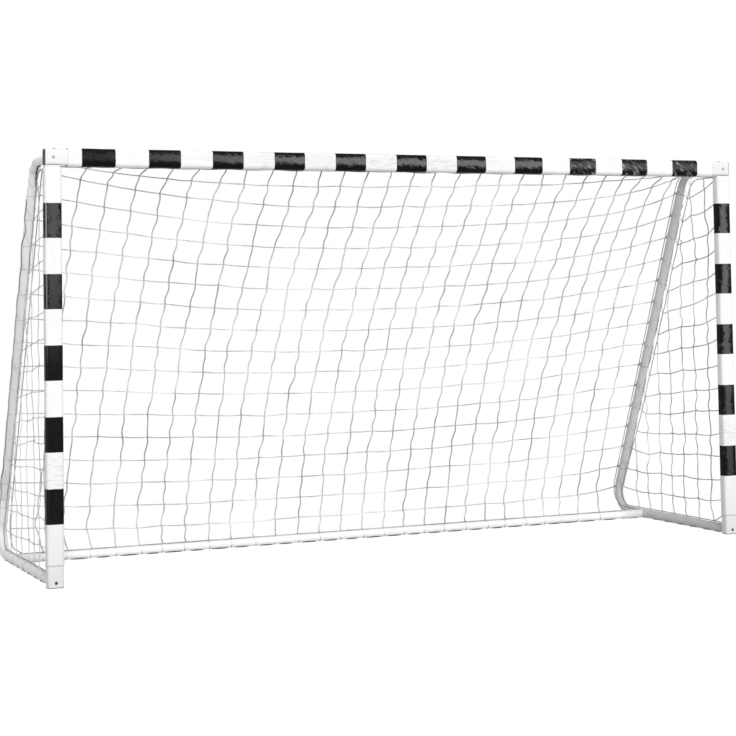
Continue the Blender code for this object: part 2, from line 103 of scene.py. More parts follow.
a_length = setting(bpy.props.FloatProperty, unit="LENGTH")
an_angle = setting(bpy.props.FloatProperty, subtype="ANGLE")
a_number = setting(bpy.props.FloatProperty)
a_count = setting(bpy.props.IntProperty)
a_colour = setting(bpy.props.FloatVectorProperty, subtype="COLOR", size=3, min=0, max=1)
a_place = setting(bpy.props.FloatVectorProperty, subtype="TRANSLATION", size=3)


class GoalFrameSizes(bpy.types.PropertyGroup):
    """Sizes of the steel frame that its boxes do not give"""

    top_depth: a_length("Top depth", "From the front to the corner of elbow and stay", 0.297)
    elbow_radius: a_length("Elbow radius", "Bend radius of the elbows", 0.100)
    ground_radius: a_length("Ground bend radius", "Bend radius of the ground tubes", 0.0885)
    elbow_showing: a_length("Elbow showing", "From the corner to the stay's upper mouth", 0.101)
    joint_height: a_length("Joint height", "Height of the joint between stay and ground tube", 0.240)
    plug_length: a_length("Plug length", "Length of each hidden tube plug", 0.080)
    neck: a_length("Neck", "Length of a swaged neck", 0.006)
    side_wall: a_length("Side wall", "Wall of the stays and ground tubes", 0.0020)
    plug_wall: a_length("Plug wall", "Wall of the elbows and the rear bar", 0.0012)
    front_wall: a_length("Front wall", "Wall of the posts and the crossbar", 0.0012)
    front_corner: a_length("Front corner", "Corner radius of the front tube", 0.010)
    socket_radius: a_length("Socket radius", "Outer radius of the rear bar's sockets", 0.0187)
    socket_length: a_length("Socket length", "Length of the sockets past the ground tube", 0.090)
    weld: a_length("Weld", "Thickness of a weld bead", 0.0036)
    tube_sides: a_count("Tube sides", "Faces around a round tube", 48, min=12, max=96)
    paint_colour: a_colour("Paint", "Colour of the powder coat", (0.86, 0.86, 0.855))


class GoalSleeveLook(bpy.types.PropertyGroup):
    """Stripes and folds of the vinyl sleeves"""

    stripe_pitch: a_length("Stripe pitch", "From one black stripe to the next", 0.2587)
    post_pitch: a_length("Post pitch", "Pitch of the stripes on the posts", 0.2605)
    stripe_width: a_length("Stripe width", "Width of a black stripe", 0.128)
    first_stripe: a_length("First stripe", "Middle of the crossbar's first stripe", -1.3086)
    flap: a_length("Flap", "Overlap of the closing flap at the back", 0.026)
    thickness: a_length("Thickness", "Thickness of the vinyl", 0.0009)
    fold_height: a_length("Fold height", "Height of the folds in the vinyl", 0.0011)
    white: a_colour("White", "Colour of the white vinyl", (0.93, 0.93, 0.925))
    black: a_colour("Black", "Colour of the black vinyl", (0.004, 0.004, 0.0043))


class GoalNetSizes(bpy.types.PropertyGroup):
    """Twine, mesh and slack of the net"""

    twine: a_length("Twine", "Thickness of the net's twine", 0.0043)
    border: a_length("Border cord", "Thickness of the border cord", 0.0042)
    lacing: a_length("Lacing twine", "Thickness of the twine round the tubes", 0.0022)
    columns: a_count("Columns", "Upright twines of the back", 27)
    rows: a_count("Rows", "Level twines of the back", 17)
    column_pitch: a_length("Column pitch", "From one upright twine to the next", 0.1003)
    side_columns: a_count("Side columns", "Upright twines of a side", 7)
    side_rows: a_count("Side rows", "Level twines of a side", 15)
    slack: a_length("Slack", "How far a twine swings beside its knots", 0.0034)
    unevenness: a_length("Unevenness", "How far a knot lies from its even place", 0.0035)
    # The twine's colour is darkened as painted shade; the twine itself is near white.
    colour: a_colour("Twine colour", "Colour of the weathered white twine", (0.64, 0.64, 0.635))


class GoalStageLook(bpy.types.PropertyGroup):
    """Camera and light"""

    camera_place: a_place("Camera place", "Where the camera stands", (-3.0404, -6.90495, 1.0204))
    yaw: an_angle("Yaw", "Turn to the right of straight ahead", radians(23.702))
    pitch: an_angle("Pitch", "Tilt upwards", radians(2.848))
    roll: an_angle("Roll", "Turn about the line of sight", radians(-0.932))
    focal_pixels: a_number("Focal length", "Focal length in pixels of the photograph", 1784.8)
    sky: a_number("Sky", "Strength of the light from all around", 0.45)
    lamp: a_number("Lamp", "Strength of the soft light from the front", 2.15)
    lamp_turn: an_angle("Lamp turn", "How far to the right of the goal the light stands", radians(-6))
    lamp_height: an_angle("Lamp height", "Angle of the light above the ground", radians(32))


def worked(operation, reflected=False):
    """A method that joins a shader value and another by a Math node."""
    def method(self, *other):
        operands = (*other, self) if reflected else (self, *other)
        return self.math(operation, *operands)
    return method


class Worked:
    """A shader value that Python expressions can work on."""

    def __init__(self, finish, socket):
        self.finish = finish
        self.socket = socket

    def output(self, name):
        """Another output of the same node."""
        return Worked(self.finish, self.socket.node.outputs[name])

    def math(self, operation, *operands):
        """A Math node on these operands."""
        return self.finish.node("ShaderNodeMath", {"operation": operation}, dict(enumerate(operands)))

    __add__ = __radd__ = worked("ADD")
    __sub__ = worked("SUBTRACT")
    __rsub__ = worked("SUBTRACT", reflected=True)
    __mul__ = __rmul__ = worked("MULTIPLY")
    __truediv__ = worked("DIVIDE")
    __rtruediv__ = worked("DIVIDE", reflected=True)
    __mod__ = worked("FLOORED_MODULO")
    __lt__ = worked("LESS_THAN")
    __gt__ = worked("GREATER_THAN")
    __abs__ = worked("ABSOLUTE")


class Finish:
    """A Principled material, or the world's backdrop, that is built node by node."""

    def __init__(self, name, kept_in="materials", shader="Principled BSDF"):
        self.material = getattr(bpy.data, kept_in).new(name)
        self.material.use_nodes = True
        self.tree = self.material.node_tree
        self.shader = self.tree.nodes[shader]

    def node(self, kind, settings=None, inputs=None, output=0):
        """Add a node of a type, with its settings and the values or links of its sockets."""
        added = self.tree.nodes.new(kind)
        for setting, value in (settings or {}).items():
            if setting == "stops":
                ramp = added.color_ramp.elements
                while len(ramp) < len(value):
                    ramp.new(0.5)
                for stop, (position, grey) in zip(ramp, value):
                    stop.position = position
                    stop.color = (grey, grey, grey, 1.0)
            else:
                setattr(added, setting, value)
        for name, value in (inputs or {}).items():
            if isinstance(value, Worked):
                self.tree.links.new(value.socket, added.inputs[name])
            else:
                added.inputs[name].default_value = value
        return Worked(self, added.outputs[output])

    def place(self, scale=(1, 1, 1)):
        """Object coordinates, stretched by a scale."""
        place = self.node("ShaderNodeTexCoord", output="Object")
        return self.node("ShaderNodeMapping", None, {"Vector": place, "Scale": scale})

    def axes(self):
        """The three object coordinates as numbers."""
        parts = self.node("ShaderNodeSeparateXYZ", None, {"Vector": self.place()})
        return parts, parts.output("Y"), parts.output("Z")

    def noise(self, scale, detail, distortion=0.0, stretch=(1, 1, 1), place=None):
        """Grey noise from 0 to 1, over the object's coordinates or another place."""
        return self.node("ShaderNodeTexNoise", None, {
            "Vector": place or self.place(stretch), "Scale": scale, "Detail": detail,
            "Distortion": distortion})

    def waves(self, scale, distortion, **settings):
        """Wave texture from 0 to 1."""
        return self.node("ShaderNodeTexWave", settings, {
            "Vector": self.place(), "Scale": scale, "Distortion": distortion}, output="Fac")

    def ramp(self, value, *stops):
        """A grey ramp with stops of (position, grey)."""
        return self.node("ShaderNodeValToRGB", {"stops": stops}, {"Fac": value})

    def mixed(self, share, first, second):
        """A mix of two colours."""
        colours = [value if isinstance(value, Worked) else (*value, 1.0) for value in (first, second)]
        return self.node("ShaderNodeMix", {"data_type": "RGBA"},
                         {0: share, 6: colours[0], 7: colours[1]}, output=2)

    def bump(self, height, distance, strength):
        """A bump of a height from 0 to 1 that stands for a distance in metres."""
        return self.node("ShaderNodeBump", None, {
            "Height": height, "Distance": distance, "Strength": strength})

    def surface(self, **sockets):
        """Set or link the shader's own sockets, named with underscores for spaces."""
        for name, value in sockets.items():
            socket = self.shader.inputs[name.replace("_", " ")]
            if isinstance(value, Worked):
                self.tree.links.new(value.socket, socket)
            else:
                socket.default_value = value
        return self.material

    def seen_as(self, white, share):
        """Show the camera a share of a white shader, also through mirrors and glass."""
        ray = self.node("ShaderNodeLightPath", output="Is Camera Ray")
        seen = ray.math("MAXIMUM", ray, ray.output("Is Glossy Ray"))
        seen = seen.math("MAXIMUM", seen, ray.output("Is Transmission Ray"))
        own = Worked(self, self.shader.outputs[0])
        both = self.node("ShaderNodeMixShader", None, {0: seen * share, 1: own, 2: white})
        out = next(node for node in self.tree.nodes if node.type.startswith("OUTPUT"))
        self.tree.links.new(both.socket, out.inputs["Surface"])
        return self.material


# Colours of the finishes that no setting holds
RUBBED_PAINT = (0.60, 0.60, 0.60)
PAINTED_TOP_LIGHT = (0.99, 0.99, 0.985)
CONTACT_SHADE_SOIL = (0.20, 0.195, 0.19)
CAP_BLACK = (0.012, 0.012, 0.013)
CAP_DUST = (0.06, 0.058, 0.055)
CORE_GREY = (0.20, 0.20, 0.205)
CORE_FLOW = (0.29, 0.29, 0.29)
ZINC = (0.34, 0.34, 0.35)
DULL_ZINC = (0.16, 0.155, 0.15)
LOW_TWINE_DARK = (0.07, 0.068, 0.065)
TIE_PAINTED_SHADE = (0.05, 0.05, 0.05)
VINYL_DUST = (0.010, 0.010, 0.0105)
VINYL_WRINKLE_HIGHLIGHT = (0.36, 0.36, 0.36)
VINYL_EDGE_HIGHLIGHT = (0.34, 0.34, 0.34)
VINYL_SEAM = (0.10, 0.10, 0.10)

# Sizes in the stripes' pattern: half a seam, half the painted highlight line on a rounded edge, the
# wave of the uneven pitches
SEAM_HALF = 0.0011
EDGE_HIGHLIGHT_HALF = 0.0022
UNEVEN_STRIPES = 7.3


def greyed(colour, share):
    """A colour made darker or lighter by a share."""
    return tuple(min(1.0, part * share) for part in colour)


def painted_steel(name, shade=1.0, painted_top_light=0.0):
    """White powder coat: orange peel, clouding, darker low down, rubbed spots; painted light on top,
    and a painted contact shade with soil at the ground.
    """
    colour = greyed(bpy.context.scene.goal_frame.paint_colour, shade)
    paint = Finish(name)
    height = paint.axes()[2]
    clouds = paint.noise(7.0, 3.0)
    speckle = paint.noise(420.0, 2.0)
    # Darker towards the ground.
    darker_low = paint.ramp(height * 5.0 + clouds * 0.6, (0.15, 1.0), (0.9, 0.0))
    rubbed = paint.ramp(paint.noise(26.0, 4.0, 0.0, (1, 1, 3)), (0.62, 0.0), (0.72, 1.0))
    base = paint.mixed(clouds, greyed(colour, 0.965), greyed(colour, 1.03))
    base = paint.mixed(darker_low * 0.42, base, greyed(colour, 0.72))
    base = paint.mixed(rubbed * 0.10, base, RUBBED_PAINT)
    # Painted light: where asked, the upper part is painted lighter, as if lit from above.
    if painted_top_light:
        upper = paint.ramp(height * 0.5, (0.42, 0.0), (0.62, 1.0))
        base = paint.mixed(upper * painted_top_light, base, PAINTED_TOP_LIGHT)
    # Painted contact shade, with some soil: a dark line along the bottom, where the tube meets the
    # ground.
    contact_shade = paint.ramp(height * 100.0 + clouds * 0.3, (0.25, 1.0), (0.60, 0.0))
    base = paint.mixed(contact_shade * 0.5, base, CONTACT_SHADE_SOIL)
    rough = 0.36 + clouds * 0.08 + rubbed * 0.14 + speckle * 0.05
    peel = paint.noise(650.0, 1.0)
    return paint.surface(Base_Color=base, Roughness=rough, Specular_IOR_Level=0.42,
                         Normal=paint.bump(peel, 0.00006, 0.5))


def weld_paint(name):
    """Painted weld metal with its chevron ripples."""
    sizes = bpy.context.scene.goal_frame
    weld = Finish(name)
    ripples = weld.waves(130.0, 2.5, bands_direction="DIAGONAL")
    base = weld.mixed(ripples, greyed(sizes.paint_colour, 0.80), greyed(sizes.paint_colour, 0.98))
    return weld.surface(Base_Color=base, Roughness=0.46 + ripples * 0.1,
                        Normal=weld.bump(ripples, 0.0004, 0.7))


def black_plastic(name):
    """Moulded black plastic with a fine spark texture and dust in it."""
    cap = Finish(name)
    grain = cap.noise(1500.0, 3.0)
    dust = cap.ramp(cap.noise(60.0, 4.0), (0.45, 0.0), (0.8, 1.0))
    base = cap.mixed(dust * 0.35, CAP_BLACK, CAP_DUST)
    return cap.surface(Base_Color=base, Roughness=0.48 + dust * 0.2,
                       Specular_IOR_Level=0.3, Normal=cap.bump(grain, 0.0001, 0.5))


def grey_plastic(name):
    """Moulded grey plastic with flow lines along the tube."""
    core = Finish(name)
    flow = core.noise(12.0, 4.0, 0.6, (4, 30, 4))
    grain = core.noise(900.0, 2.0)
    base = core.mixed(flow, CORE_GREY, CORE_FLOW)
    return core.surface(Base_Color=base, Roughness=0.5 + flow * 0.15,
                        Normal=core.bump(grain, 0.00008, 0.5))


def zinc_steel(name, shade=1.0):
    """Zinc plated steel: patchy plating, fine turning marks and dull spots."""
    zinc = Finish(name)
    patches = zinc.noise(320.0, 4.0, 0.4)
    marks = zinc.waves(900.0, 4.0, wave_type="RINGS", rings_direction="Y")
    dull = zinc.ramp(patches, (0.4, 0.0), (0.75, 1.0))
    base = zinc.mixed(dull, greyed(ZINC, shade), greyed(DULL_ZINC, shade))
    return zinc.surface(Base_Color=base, Metallic=1.0, Roughness=0.33 + dull * 0.3,
                        Normal=zinc.bump(marks, 0.00004, 0.4))


def net_cord(name, colour, low_darkening=0.0):
    """Twisted polyethylene twine: slanting strands, pale fibres, grey weathering, and darker near the
    ground where asked.
    """
    twine = Finish(name)
    strands = twine.waves(190.0, 0.6, bands_direction="DIAGONAL")
    patches = twine.noise(13.0, 3.0) * 0.5 + twine.noise(3.5, 2.0) * 0.5
    weather = twine.ramp(patches, (0.38, 0.0), (0.60, 1.0))
    fibres = twine.noise(2300.0, 2.0)
    base = twine.mixed(weather, greyed(colour, 0.55), greyed(colour, 1.48))
    base = twine.mixed(strands * 0.35 + 0.65, greyed(colour, 0.6), base)
    # Darker near the ground, where asked.
    if low_darkening:
        darker_low = twine.ramp(twine.axes()[2] * 40.0 + weather * 0.2, (0.40, 1.0), (0.75, 0.0))
        base = twine.mixed(darker_low * low_darkening, base, LOW_TWINE_DARK)
    height = strands * 0.8 + fibres * 0.2
    return twine.surface(Base_Color=base, Roughness=0.62 + weather * 0.12, Specular_IOR_Level=0.3,
                         Normal=twine.bump(height, 0.0005, 0.8))


class Band:
    """A painted sheen: the lighter band, painted as a reflection, that runs along the black stripes of
    a sleeve.
    """

    fade_from = -9.0
    fade_over = 1.0
    least = 0.0
    streaked_from = 9.0
    edge_highlight = 0.0

    def __init__(self, axis, middle, half_width, grey, **others):
        vars(self).update(axis=axis, middle=middle, half_width=half_width, grey=grey, **others)


def striped_vinyl(name, axis, first, pitch, count, band, uneven=0.0, rumple_shade_at=(0.0, 1.0)):
    """Vinyl with black stripes across one axis, the creases of a wrapped sheet, and painted sheen,
    highlights and shade.
    """
    look = bpy.context.scene.goal_sleeves
    vinyl = Finish(name)
    axes = vinyl.axes()
    along_bar = axes["XYZ".index(axis)]
    across_bar = axes["XYZ".index(band.axis)]
    wobble = vinyl.noise(60.0, 2.0) - 0.5
    travel = along_bar - first + wobble * 0.0016
    if uneven:
        wave = travel * (2 * pi / (UNEVEN_STRIPES * pitch))
        travel = travel - wave.math("COSINE", wave) * uneven
    offset = abs((travel / pitch + 0.5) % 1.0 - 0.5) * pitch
    span = abs(travel - pitch * (count - 1) / 2) < pitch * count / 2
    black = (offset < look.stripe_width / 2) * span
    seam = (abs(offset - look.stripe_width / 2) < SEAM_HALF) * span
    stretched = tuple(9.0 if letter == axis else 30.0 for letter in "XYZ")
    creases = vinyl.noise(1.6, 5.0, 1.4, stretched)
    fine = vinyl.noise(120.0, 4.0, 0.5)
    leather = vinyl.noise(1100.0, 2.0)
    # Dust follows the crease noise; on the white it also paints shade into the creases.
    dust = vinyl.ramp(creases, (0.42, 0.0), (0.78, 1.0))
    # Painted sheen: a lighter band along the black stripes stands for a reflection; it fades along the
    # bar and is ragged at its edges.
    line = abs(across_bar - band.middle) / band.half_width
    fade = vinyl.ramp((along_bar - band.fade_from) / band.fade_over, (0.0, band.least), (1.0, 1.0))
    slanted = vinyl.node("ShaderNodeCombineXYZ", None, {
        "X": (axes[0] * 0.8 - axes[2] * 0.6) * 16.0, "Y": (axes[2] * 0.8 + axes[0] * 0.6) * 70.0,
        "Z": axes[1] * 20.0})
    ragged = vinyl.noise(1.0, 4.0, 1.8, place=slanted)
    # Painted wrinkle light and shade: slanted streaks, grey on the white and pale highlights on the
    # black past streaked_from.
    streaks = vinyl.ramp(ragged, (0.54, 0.0), (0.68, 1.0))
    sheen = vinyl.ramp(line + (creases - 0.5) * 1.4 + (ragged - 0.5) * 1.8, (0.45, 1.0), (1.15, 0.0))
    white = vinyl.mixed(dust * 0.45, look.white, greyed(look.white, 0.88))
    white = vinyl.mixed(streaks * 0.30, white, greyed(look.white, 0.78))
    low = vinyl.ramp(axes[2] * 2.0 + creases * 0.4, (0.35, 1.0), (1.05, 0.0))
    white = vinyl.mixed(low, white, greyed(look.white, 0.83))
    # Painted shade of wrinkles: around a given place the white is greyed, with darker grey ridges.
    ridged = vinyl.noise(24.0, 3.0, 0.8, (1, 1, 5))
    ridges = vinyl.ramp(ridged, (0.50, 0.0), (0.64, 1.0))
    near = vinyl.ramp(abs(along_bar - rumple_shade_at[0]) / rumple_shade_at[1], (0.30, 1.0), (0.60, 0.0))
    white = vinyl.mixed(near * (0.4 + creases * 0.4), white, greyed(look.white, 0.90))
    white = vinyl.mixed(ridges * near * 0.5, white, greyed(look.white, 0.66))
    dark = vinyl.mixed(dust * 0.8, look.black, VINYL_DUST)
    streaked = along_bar > band.streaked_from
    # The painted sheen lightens the black, less on the bar's streaked end.
    sheen = sheen * fade * (0.25 + fine * 1.5) * (1.0 - streaked * 0.6)
    dark = vinyl.mixed(sheen, dark, (band.grey,) * 3)
    dark = vinyl.mixed(streaks * streaked, dark, VINYL_WRINKLE_HIGHLIGHT)
    # Painted highlight: a pale line on the black along the rounded edge, fading like the sheen.
    if band.edge_highlight:
        edge = abs(across_bar - band.edge_highlight) < EDGE_HIGHLIGHT_HALF
        dark = vinyl.mixed(edge * fade * 0.8, dark, VINYL_EDGE_HIGHLIGHT)
    base = vinyl.mixed(black, white, dark)
    base = vinyl.mixed(seam * 0.35, base, VINYL_SEAM)
    rough = 0.36 + dust * 0.16 + fine * 0.06
    height = creases * 0.7 + fine * 0.12 + leather * 0.03 - seam * 0.10
    return vinyl.surface(Base_Color=base, Roughness=rough, Specular_IOR_Level=0.05,
                         Normal=vinyl.bump(height, 0.0016, 0.55))


def wander(x, y, z):
    """Smooth noise from -1 to 1 at a place."""
    return noise.noise(Vector((x, y, z)))


def linked(name, data):
    """A new object of the scene, at the origin."""
    added = bpy.data.objects.new(name, data)
    bpy.context.scene.collection.objects.link(added)
    return added


def made_of(name, bm, material):
    """A new object from a bmesh, in one material."""
    mesh = bpy.data.meshes.new(name)
    bm.to_mesh(mesh)
    bm.free()
    mesh.materials.append(material)
    return linked(name, mesh)


def finished(name, bm, material, replaced=(), edge=0.0, wall=0.0, sharp=0.7, even=True):
    """Write a bmesh as a finished piece that rides on the goal."""
    piece = made_of(name, bm, material)
    piece.data.shade_smooth()
    piece.data.set_sharp_from_angle(angle=sharp)
    if wall:
        skin = piece.modifiers.new("wall", "SOLIDIFY")
        skin.thickness = wall
        skin.offset = -1.0
        skin.use_even_offset = even
    if edge:
        soft = piece.modifiers.new("soft_edges", "BEVEL")
        soft.width = edge
        soft.segments = 2
        soft.limit_method = "ANGLE"
        soft.angle_limit = radians(50)
        soft.use_clamp_overlap = True
    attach(piece, ROOT)
    if replaced:
        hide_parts(*replaced)
    return piece


def painted(name, bm, replaced, shade=1.0, painted_top_light=0.0, edge=SMALL_EDGE, wall=0.0):
    """A finished piece of painted steel."""
    paint = painted_steel(f"{name}_paint", shade, painted_top_light)
    finished(name, bm, paint, replaced, edge, wall)


def corded(name, paths, thickness, colour, low_darkening=0.0, replaced=(), **form):
    """A finished piece of net cord along paths of points."""
    bm = bmesh.new()
    cords(bm, paths, thickness, **form)
    finished(name, bm, net_cord(f"{name}_cord", colour, low_darkening), replaced, sharp=pi)


def knotted(name, places, size, colour, draw):
    """A finished piece of small lumpy knots."""
    bm = bmesh.new()
    for place in places:
        turn = (Matrix.Rotation(draw.uniform(0.5, 1.1), 4, "Y")
                @ Matrix.Rotation(draw.uniform(-0.4, 0.4), 4, "X"))
        squash = Matrix.Diagonal((size * 0.42, size * 0.36, size * draw.uniform(0.60, 0.78), 1))
        bmesh.ops.create_uvsphere(bm, u_segments=7, v_segments=5, radius=1.0,
                                  matrix=Matrix.Translation(place) @ turn @ squash)
    finished(name, bm, net_cord(f"{name}_cord", colour), sharp=pi)


def stood(place, angle=0.0, axis="Y"):
    """A matrix that turns about an axis through the origin and then moves to a place."""
    return Matrix.Translation(place) @ Matrix.Rotation(angle, 4, axis)


def verts_in(geometry):
    """The vertices among what a bmesh operator made."""
    return [item for item in geometry if isinstance(item, bmesh.types.BMVert)]


def dressed(material_maker, *nodes):
    """Give carried-over CAD nodes a material of their own."""
    for name in nodes:
        material = material_maker(f"{name}_finish")
        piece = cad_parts[name]
        piece.data.materials.clear()
        piece.data.materials.append(material)


def bent_route(start, corner, end, radius, steps=20):
    """A centre line with one bend: straight, arc, straight."""
    back = (start - corner).normalized()
    ahead = (end - corner).normalized()
    half_angle = back.angle(ahead) / 2
    centre = corner + (back + ahead).normalized() * (radius / sin(half_angle))
    from_centre = corner + back * (radius / tan(half_angle)) - centre
    to_centre = corner + ahead * (radius / tan(half_angle)) - centre
    turn = pi - 2 * half_angle
    arc = []
    for step in range(steps + 1):
        swept = turn * step / steps
        arc.append(centre + (from_centre * sin(turn - swept) + to_centre * sin(swept)) / sin(turn))
    return [start, *arc, end]


def route_length(points):
    """Length of a polyline."""
    return sum((second - first).length for first, second in zip(points, points[1:]))


def at_length(points, travel):
    """The point at a travelled length of a polyline."""
    for first, second in zip(points, points[1:]):
        step = (second - first).length
        if travel <= step:
            return first.lerp(second, travel / step)
        travel -= step
    return points[-1].copy()


def evenly(points, step):
    """A polyline's points at even distances of about a step."""
    total = route_length(points)
    count = max(2, round(total / step))
    return [at_length(points, total * index / count) for index in range(count + 1)]


def side_corner():
    """The corner of elbow and stay on their centre lines, in the goal's middle plane."""
    return Vector((0, FRONT_Y + bpy.context.scene.goal_frame.top_depth, CROSSBAR_Z))


def stay_tilt():
    """Angle of the stays from upright, so that they meet the ground tubes' bends."""
    radius = bpy.context.scene.goal_frame.ground_radius
    bend_centre = Vector((0, REAR_Y - SIDE_RADIUS - radius, SIDE_RADIUS + radius))
    reach = bend_centre - side_corner()
    return atan2(reach.y, -reach.z) + asin(radius / reach.length)


def point_on_stay(height):
    """The point of the stay's centre line at a height above the ground."""
    tilt = stay_tilt()
    down = Vector((0, sin(tilt), -cos(tilt)))
    return side_corner() + down * ((CROSSBAR_Z - height) / cos(tilt))


def side_route(start, low, end, radius):
    """A route from the front round the elbow, down the stay and forward along the ground."""
    halfway = point_on_stay(HALFWAY_Z)
    upper = bent_route(start, side_corner(), halfway, bpy.context.scene.goal_frame.elbow_radius)
    return upper + bent_route(halfway, point_on_stay(low), end, radius)[1:]


def swept_tube(route, radius, x):
    """An open skin of a round tube along a route in an upright plane at x."""
    sides = bpy.context.scene.goal_frame.tube_sides
    bm = bmesh.new()
    across = Vector((1, 0, 0))
    rings = []
    for index, point in enumerate(route):
        before = route[max(index - 1, 0)]
        after = route[min(index + 1, len(route) - 1)]
        ahead = (after - before).normalized()
        turn = Matrix((across, ahead.cross(across), ahead)).transposed().to_4x4()
        rings.append(Matrix.Translation(point + across * x) @ turn)
    bmesh.ops.create_circle(bm, segments=sides, radius=radius, matrix=rings[0])
    edges = bm.edges[:]
    for first, second in zip(rings, rings[1:]):
        drawn = bmesh.ops.extrude_edge_only(bm, edges=edges)["geom"]
        bmesh.ops.transform(bm, matrix=second @ first.inverted(), verts=verts_in(drawn))
        edges = [item for item in drawn if isinstance(item, bmesh.types.BMEdge)
                 and len(item.link_faces) == 1
                 and all(vert in drawn for vert in item.verts)]
    bmesh.ops.recalc_face_normals(bm, faces=bm.faces)
    return bm


def turned(profile, place):
    """A closed profile of (radius, height) points turned round its axis and put in place."""
    sides = bpy.context.scene.goal_frame.tube_sides
    bm = bmesh.new()
    points = [bm.verts.new((radius, 0, height)) for radius, height in profile]
    edges = [bm.edges.new(pair) for pair in zip(points, [*points[1:], points[0]])]
    bmesh.ops.spin(bm, geom=points + edges, cent=(0, 0, 0), axis=(0, 0, 1), angle=2 * pi,
                   steps=sides, use_merge=True, use_duplicate=False)
    bmesh.ops.remove_doubles(bm, verts=bm.verts, dist=SAME_PLACE)
    bmesh.ops.recalc_face_normals(bm, faces=bm.faces)
    bmesh.ops.transform(bm, matrix=place, verts=bm.verts)
    return bm


def long_edges(bm, rise):
    """The edges that rise by more than a height."""
    return [edge for edge in bm.edges if abs(edge.verts[0].co.z - edge.verts[1].co.z) > rise]


def rounded_bar(width, depth, length, corner, open_ends, steps=8):
    """A bar along Z of rounded rectangular section, standing on Z = 0."""
    bm = bmesh.new()
    bmesh.ops.create_cube(bm, size=1.0)
    bmesh.ops.translate(bm, verts=bm.verts, vec=(0, 0, 0.5))
    bmesh.ops.scale(bm, verts=bm.verts, vec=(width, depth, length))
    if open_ends:
        ends = [face for face in bm.faces if abs(face.normal.z) > 0.5]
        bmesh.ops.delete(bm, geom=ends, context="FACES_ONLY")
    bmesh.ops.bevel(bm, geom=long_edges(bm, length / 2), offset=corner, segments=steps, profile=0.5,
                    affect="EDGES", material=-1)
    return bm


def cords(bm, paths, thickness, closed=False, sides=6):
    """Add round cords along paths of points."""
    curve = bpy.data.curves.new("cord_guide", "CURVE")
    curve.dimensions = "3D"
    curve.bevel_depth = thickness / 2
    curve.bevel_resolution = sides // 2 - 2
    curve.use_fill_caps = not closed
    for path in paths:
        spline = curve.splines.new("POLY")
        spline.points.add(len(path) - 1)
        spline.use_cyclic_u = closed
        for point, place in zip(spline.points, path):
            point.co = (*place, 1.0)
    guide = linked("cord_guide", curve)
    evaluated = guide.evaluated_get(bpy.context.evaluated_depsgraph_get())
    mesh = bpy.data.meshes.new_from_object(evaluated)
    bm.from_mesh(mesh)
    bpy.data.objects.remove(guide, do_unlink=True)
    bpy.data.meshes.remove(mesh)
    bpy.data.curves.remove(curve)
    bmesh.ops.remove_doubles(bm, verts=bm.verts, dist=SAME_PLACE)


# Painted light and shade on the paint, as lighter and darker copies of one white: painted shade on the
# right side and more on its elbow under the crossbar, painted light on the rear bar, a little painted
# shade on the posts' feet, and each ground tube has its own
POST_SHADE = 0.96
RIGHT_SIDE_PAINTED_SHADE = 0.83
RIGHT_ELBOW_SHADE = 0.76 * RIGHT_SIDE_PAINTED_SHADE
GROUND_SHADES = {-1: 1.08, 1: 0.73}
REAR_BAR_SHADE = 1.12


class GOAL_OT_front_tubes(bpy.types.Operator):
    """Make the crossbar's end sections and the lower posts, and dress the sections in the sleeves"""

    bl_idname = "goal.front_tubes"
    bl_label = "Front tubes"

    def execute(self, context):
        sizes = context.scene.goal_frame
        for name in SIDES.values():
            node = f"crossbar_{name}"
            size, centre, start = extent(node), middle(node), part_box(node)[0].x
            bar = rounded_bar(size.z, size.y, size.x, sizes.front_corner, True)
            bmesh.ops.transform(bar, matrix=stood((start, centre.y, centre.z), pi / 2),
                                verts=bar.verts)
            painted(f"crossbar_tube_{name}", bar, [node], edge=TUBE_EDGE, wall=sizes.front_wall)
            node = f"post_lower_{name}"
            size, centre, start = extent(node), middle(node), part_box(node)[0].z
            post = rounded_bar(size.x, size.y, size.z, sizes.front_corner, True)
            bmesh.ops.translate(post, verts=post.verts, vec=(centre.x, centre.y, start))
            painted(f"post_foot_{name}", post, [node], POST_SHADE, edge=TUBE_EDGE,
                    wall=sizes.front_wall)
            dressed(painted_steel, f"post_upper_{name}")
            dressed(grey_plastic, f"post_joint_{name}", f"post_top_insert_{name}",
                    f"crossbar_joint_{name}")
            dressed(zinc_steel, f"elbow_insert_{name}", f"ground_tube_insert_{name}")
        dressed(painted_steel, "crossbar_middle")
        return {"FINISHED"}


# A cap's flange, and its dish: how far in its edge lies, how wide and how deep its step is
FLANGE = 0.0012
DISH_MARGIN = 0.0045
DISH_STEP = 0.0012
DISH_DEPTH = 0.0006


def plastic_cap(place, width, depth, plug_depth):
    """A push-in cap: a rounded flange with a shallow dish, and its hollow plug."""
    sizes = bpy.context.scene.goal_frame
    cap = rounded_bar(width, depth, FLANGE, sizes.front_corner, False)
    inside = max(cap.faces, key=lambda face: face.normal.z)
    bmesh.ops.inset_individual(cap, faces=[inside], thickness=sizes.front_wall + FIT)
    plug = bmesh.ops.extrude_face_region(cap, geom=[inside])
    bmesh.ops.delete(cap, geom=[inside], context="FACES")
    bmesh.ops.translate(cap, vec=(0, 0, plug_depth), verts=verts_in(plug["geom"]))
    outside = min(cap.faces, key=lambda face: face.normal.z)
    bmesh.ops.inset_individual(cap, faces=[outside], thickness=DISH_MARGIN, depth=0.0)
    bmesh.ops.inset_individual(cap, faces=[outside], thickness=DISH_STEP, depth=-DISH_DEPTH)
    bmesh.ops.transform(cap, matrix=place, verts=cap.verts)
    return cap


